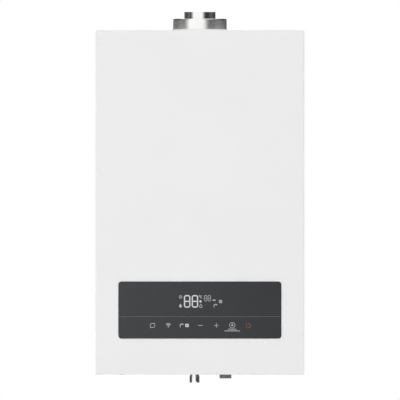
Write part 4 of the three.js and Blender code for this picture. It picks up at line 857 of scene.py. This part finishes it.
def flue_piece(name, profile, material, slot, *replaced):
    """A fixed piece, turned round the flue's axis."""
    mesh = lathe(name, profile, FLUE_AXIS, FLUE_SIDES)
    smooth(piece(name, mesh, "boiler", material, slot, *replaced))


def make_air_socket():
    """A brushed ring that ends in a polished mouth, a little narrower at the top."""
    top = behind(COLLAR_HIGH.z, FLUE_AXIS[1])
    bead = top - MOUTH_HEIGHT
    groove, taper = mm(0.2, 0.5)
    joint = [(RING_BORE, bead + groove), (RING_RADIUS - groove, bead + groove)]
    ring = [(RING_BORE, RING_FOOT), (RING_RADIUS, RING_FOOT), (RING_RADIUS, bead), *joint[::-1]]
    flue_piece("flue_ring", ring, RING_STEEL, "flue_steel", "flue_collar")
    mouth = [
        *joint, (RING_RADIUS, bead + 2 * groove), *rim(RING_BORE, RING_RADIUS - taper, top),
    ]
    flue_piece("flue_mouth", mouth, SLOTS["flue_steel"], "flue_steel")


def make_socket_flange():
    """The flat flange that the ring stands on."""
    edge = mm(0.4)
    inner, outer = RING_RADIUS - edge, FLANGE_RADIUS
    low, high = RING_FOOT, RING_FOOT + RING_WALL
    profile = [
        (inner, low), (outer - edge, low), (outer, low + edge), (outer, high - edge),
        (outer - edge, high), (inner, high),
    ]
    flue_piece("flue_flange", profile, SLOTS["casing_white"], "casing_white")


def make_panel_neck():
    """The painted top panel, pressed up into a low neck round the ring."""
    section = (  # beyond the ring and above the panel
        (0.1, -0.6), (4.5, -0.6), (4.5, 0), (2.6, 0.6), (1.7, 1.5), (1.5, 2.4), (1.1, 2.9),
        (0.1, 2.9),
    )
    profile = [(RING_RADIUS + mm(out), CASING_TOP + mm(up)) for out, up in section]
    flue_piece("flue_neck", profile, SLOTS["casing_white"], "casing_white")


def make_exhaust_tube():
    """The polished exhaust tube inside the ring."""
    outer = (TUBE_HIGH.x - TUBE_LOW.x) / 2
    inner = outer - TUBE_WALL
    top = behind(TUBE_HIGH.z, FLUE_AXIS[1]) + TUBE_TALLER
    profile = [(inner, TUBE_LOW.z), (outer, TUBE_LOW.z), *rim(inner, outer, top)]
    flue_piece("flue_tube", profile, SLOTS["flue_steel"], "flue_steel", "flue_inner_tube")


# ---- under the casing -------------------------------------------------------
GAS_AXIS = upright_axis(STUB_LOW, STUB_HIGH)
GAS_STUB, GAS_PIPE, GAS_BORE = mm(9.55, 8.7, 6.7)
BORE_DEPTH = mm(40)
STUB_LONGER = mm(0.4)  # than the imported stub, as the photograph shows it
SHOULDER_DROP = mm(2.5)  # the stub's shoulder below the casing's lower edge
STUB_SIDES = 96
NUT_FLATS, NUT_HEIGHT = mm(15, 14)
NUT_ABOVE_PLATE = mm(4)
NUT_END = 0.97  # radius of its turned ends, as a share of half its width
NUT_SIDES = 36
KNOB_AXIS = upright_axis(KNOB_LOW, KNOB_HIGH)
KNOB_RADIUS, KNOB_NECK, KNOB_STEM = mm(11.5, 8, 4)
KNOB_RIBS = 24
RIB_DEPTH = mm(0.55)
RIB_ROUNDNESS = 0.6  # below 1 the ribs are broad and the grooves between them narrow
SIDES_PER_RIB = 8
SOFT_EDGE = mm(0.4)  # radius of the stub's and the knob's outer edges


def nut_into(bm, centre, flats, low, height):
    """A hexagon nut whose corners are turned off at both ends."""
    def six_sided(angle):
        return flats / math.cos(angle % (math.pi / 3) - math.pi / 6)

    def round_end(_):
        return flats * NUT_END

    rings = [
        ring_into(bm, centre, low + height * share, NUT_SIDES, reach)
        for share, reach in ((0, round_end), (0.12, six_sided), (0.88, six_sided), (1, round_end))
    ]
    for lower, upper in zip(rings, rings[1:]):
        skin_into(bm, lower, upper)
    bm.faces.new(rings[0][::-1])
    bm.faces.new(rings[-1])


def make_gas_stub():
    """The polished gas stub, its pipe and the two union nuts under the gas valve."""
    end, top = behind(STUB_LOW.z, GAS_AXIS[1]) - STUB_LONGER, STUB_HIGH.z
    neck = behind(CASING_FOOT, GAS_AXIS[1]) - SHOULDER_DROP
    chamfer = mm(0.3)
    edge = arc((GAS_STUB - SOFT_EDGE, end + SOFT_EDGE), SOFT_EDGE, -75, 0, 4)
    profile = [
        (0, end + BORE_DEPTH), (GAS_BORE, end + BORE_DEPTH), (GAS_BORE, end + SOFT_EDGE),
        (GAS_BORE + SOFT_EDGE, end), (edge[0][0] - SOFT_EDGE, end), *edge,
        (GAS_STUB, neck - chamfer), (GAS_STUB - chamfer, neck), (GAS_PIPE, neck),
        (GAS_PIPE, top), (0, top),
    ]
    bm = bmesh.new()
    lathe_into(bm, profile, GAS_AXIS, STUB_SIDES)
    for low in (BASE_HIGH.z + NUT_ABOVE_PLATE, top - NUT_HEIGHT):
        nut_into(bm, GAS_AXIS, NUT_FLATS, low, NUT_HEIGHT)
    smooth(piece("gas_stub", mesh_from("gas_stub", bm), "boiler", SLOTS["chromed_brass"],
                 "chromed_brass", "gas_inlet_pipe"))


def make_knob():
    """The filling knob: a ribbed grip with a dished face, on its neck and stem."""
    low, top = behind(KNOB_LOW.z, KNOB_AXIS[1]), KNOB_HIGH.z
    grip_top, neck_top = CASING_FOOT + mm(16), CASING_FOOT + mm(24)
    ribbed_from = KNOB_RADIUS - mm(0.2)  # what is narrower stays round

    def ribbed(radius, angle):
        wave = 0.5 + 0.5 * math.cos(angle * KNOB_RIBS)
        groove = RIB_DEPTH * (1 - wave ** RIB_ROUNDNESS)
        return radius - groove if radius > ribbed_from else radius

    foot = arc((KNOB_RADIUS - SOFT_EDGE, low + SOFT_EDGE), SOFT_EDGE, -75, 0, 5)
    shoulder = arc((KNOB_RADIUS - SOFT_EDGE, grip_top - SOFT_EDGE), SOFT_EDGE, 0, 75, 5)
    dish = low + mm(0.8)
    profile = [
        (0, dish), (KNOB_RADIUS * 0.55, dish), (KNOB_RADIUS * 0.66, low), *foot,
        (KNOB_RADIUS, low + mm(3)), (KNOB_RADIUS, low + mm(12)), *shoulder,
        (KNOB_NECK, grip_top), (KNOB_NECK, neck_top), (KNOB_STEM, neck_top),
        (KNOB_STEM, top), (0, top),
    ]
    mesh = lathe("filling_grip", profile, KNOB_AXIS, KNOB_RIBS * SIDES_PER_RIB, swell=ribbed)
    smooth(piece("filling_grip", mesh, "filling_handle", SLOTS["grey_plastic"], "grey_plastic",
                 "filling_knob"))


# ---- the display and the keys -----------------------------------------------
# Millimetres off the middle of the front, and above the casing's lower edge.
DISPLAY_HEIGHT = 140.6  # middle of the large figures
KEY_HEIGHT = 94.5
KEY_PITCH = 30.65
KEYS_OFF_MIDDLE = 0.9  # the row stands a little to the right
KEYS = [step * KEY_PITCH + KEYS_OFF_MIDDLE for step in range(-3, 4)]
LINE_HEIGHT = 111.2


def make_marks():
    """Lit figures and symbols on the display, and the row of touch keys."""
    marks(
        "display_figures", MARK_WHITE,
        *((eight, (x, DISPLAY_HEIGHT), 12.4, 24.1, 2.3, 3.2, 0.35) for x in (-24.4, -9.5)),
        (disc_into, (1.1, 140.5), 2.2),
        (radiator_icon, (KEYS[2] + 5.0, KEY_HEIGHT), 7.4, 6.4, 4),
    )
    marks(
        "display_small_figures", MARK_DIM,
        *((eight, (x, 146.6), 6.0, 11.9, 1.15, 1.8, 0.2) for x in (10.9, 18.1)),
    )
    marks(
        "display_symbols", MARK_GREY,
        (clock_icon, (-37.0, 149.1), 2.7, 0.9),
        (drop_icon, (-37.2, 132.4), 7.6),
        (degree_icon, (1.6, 149.2), 7.2, 1.0),
        (drop_outline, (1.8, 131.9), 7.2, 1.1),
        (bar, (27.2, 142.8), 6.6, 2.0),
        (radiator_icon, (39.5, 140.3), 6.5, 6.0, 4),
        (tap_icon, (29.8, 132.4), 7.4, 1.1),
    )
    marks(
        "key_symbols", MARK_GREY,
        (cycle_icon, (KEYS[0] + 0.3, KEY_HEIGHT), 8.4, 7.4, 1.0),
        (waves_icon, (KEYS[1], KEY_HEIGHT + 0.2), 9.4, 1.15),
        (tap_icon, (KEYS[2] - 5.2, KEY_HEIGHT + 0.4), 7.6, 1.2),
        (bar, (KEYS[3], KEY_HEIGHT), 9.6, 0.95),
        (plus_icon, (KEYS[4], KEY_HEIGHT), 8.6, 0.9),
        (dial_icon, (KEYS[5] - 0.2, KEY_HEIGHT + 0.4), 5.2, 0.95),
    )
    marks(
        "key_captions", MARK_DIM,
        (bar, (62.0, 87.2), 16.5, 1.5),
        (bar, (61.9, 84.0), 30.0, 1.6),
    )
    marks("key_power", MARK_RED, (power_icon, (KEYS[6], KEY_HEIGHT - 0.4), 4.2, 1.15))


def make_panel_line():
    """A lighter inlay in the engraved line that parts the keys from the display."""
    half, tall = (GLASS_HIGH.x - GLASS_LOW.x) / 2 - mm(0.5), mm(0.38)
    front, back = GLASS_LOW.y + mm(0.1), GLASS_LOW.y + mm(0.28)
    z = CASING_FOOT + mm(LINE_HEIGHT)
    low, high = (-half, front, z - tall), (half, back, z + tall)
    bm = bmesh.new()
    bmesh.ops.create_cube(bm, size=1.0)
    for vertex in bm.verts:
        for axis in range(3):
            vertex.co[axis] = high[axis] if vertex.co[axis] > 0 else low[axis]
    bmesh.ops.bevel(bm, geom=bm.edges[:], offset=mm(0.05), segments=1, affect="EDGES")
    piece("panel_line", mesh_from("panel_line", bm), "cover", LINE_GREY, "control_glass")


finish_nodes()
make_air_socket()
make_socket_flange()
make_panel_neck()
make_exhaust_tube()
make_gas_stub()
make_knob()
make_marks()
make_panel_line()

bpy.context.view_layer.update()
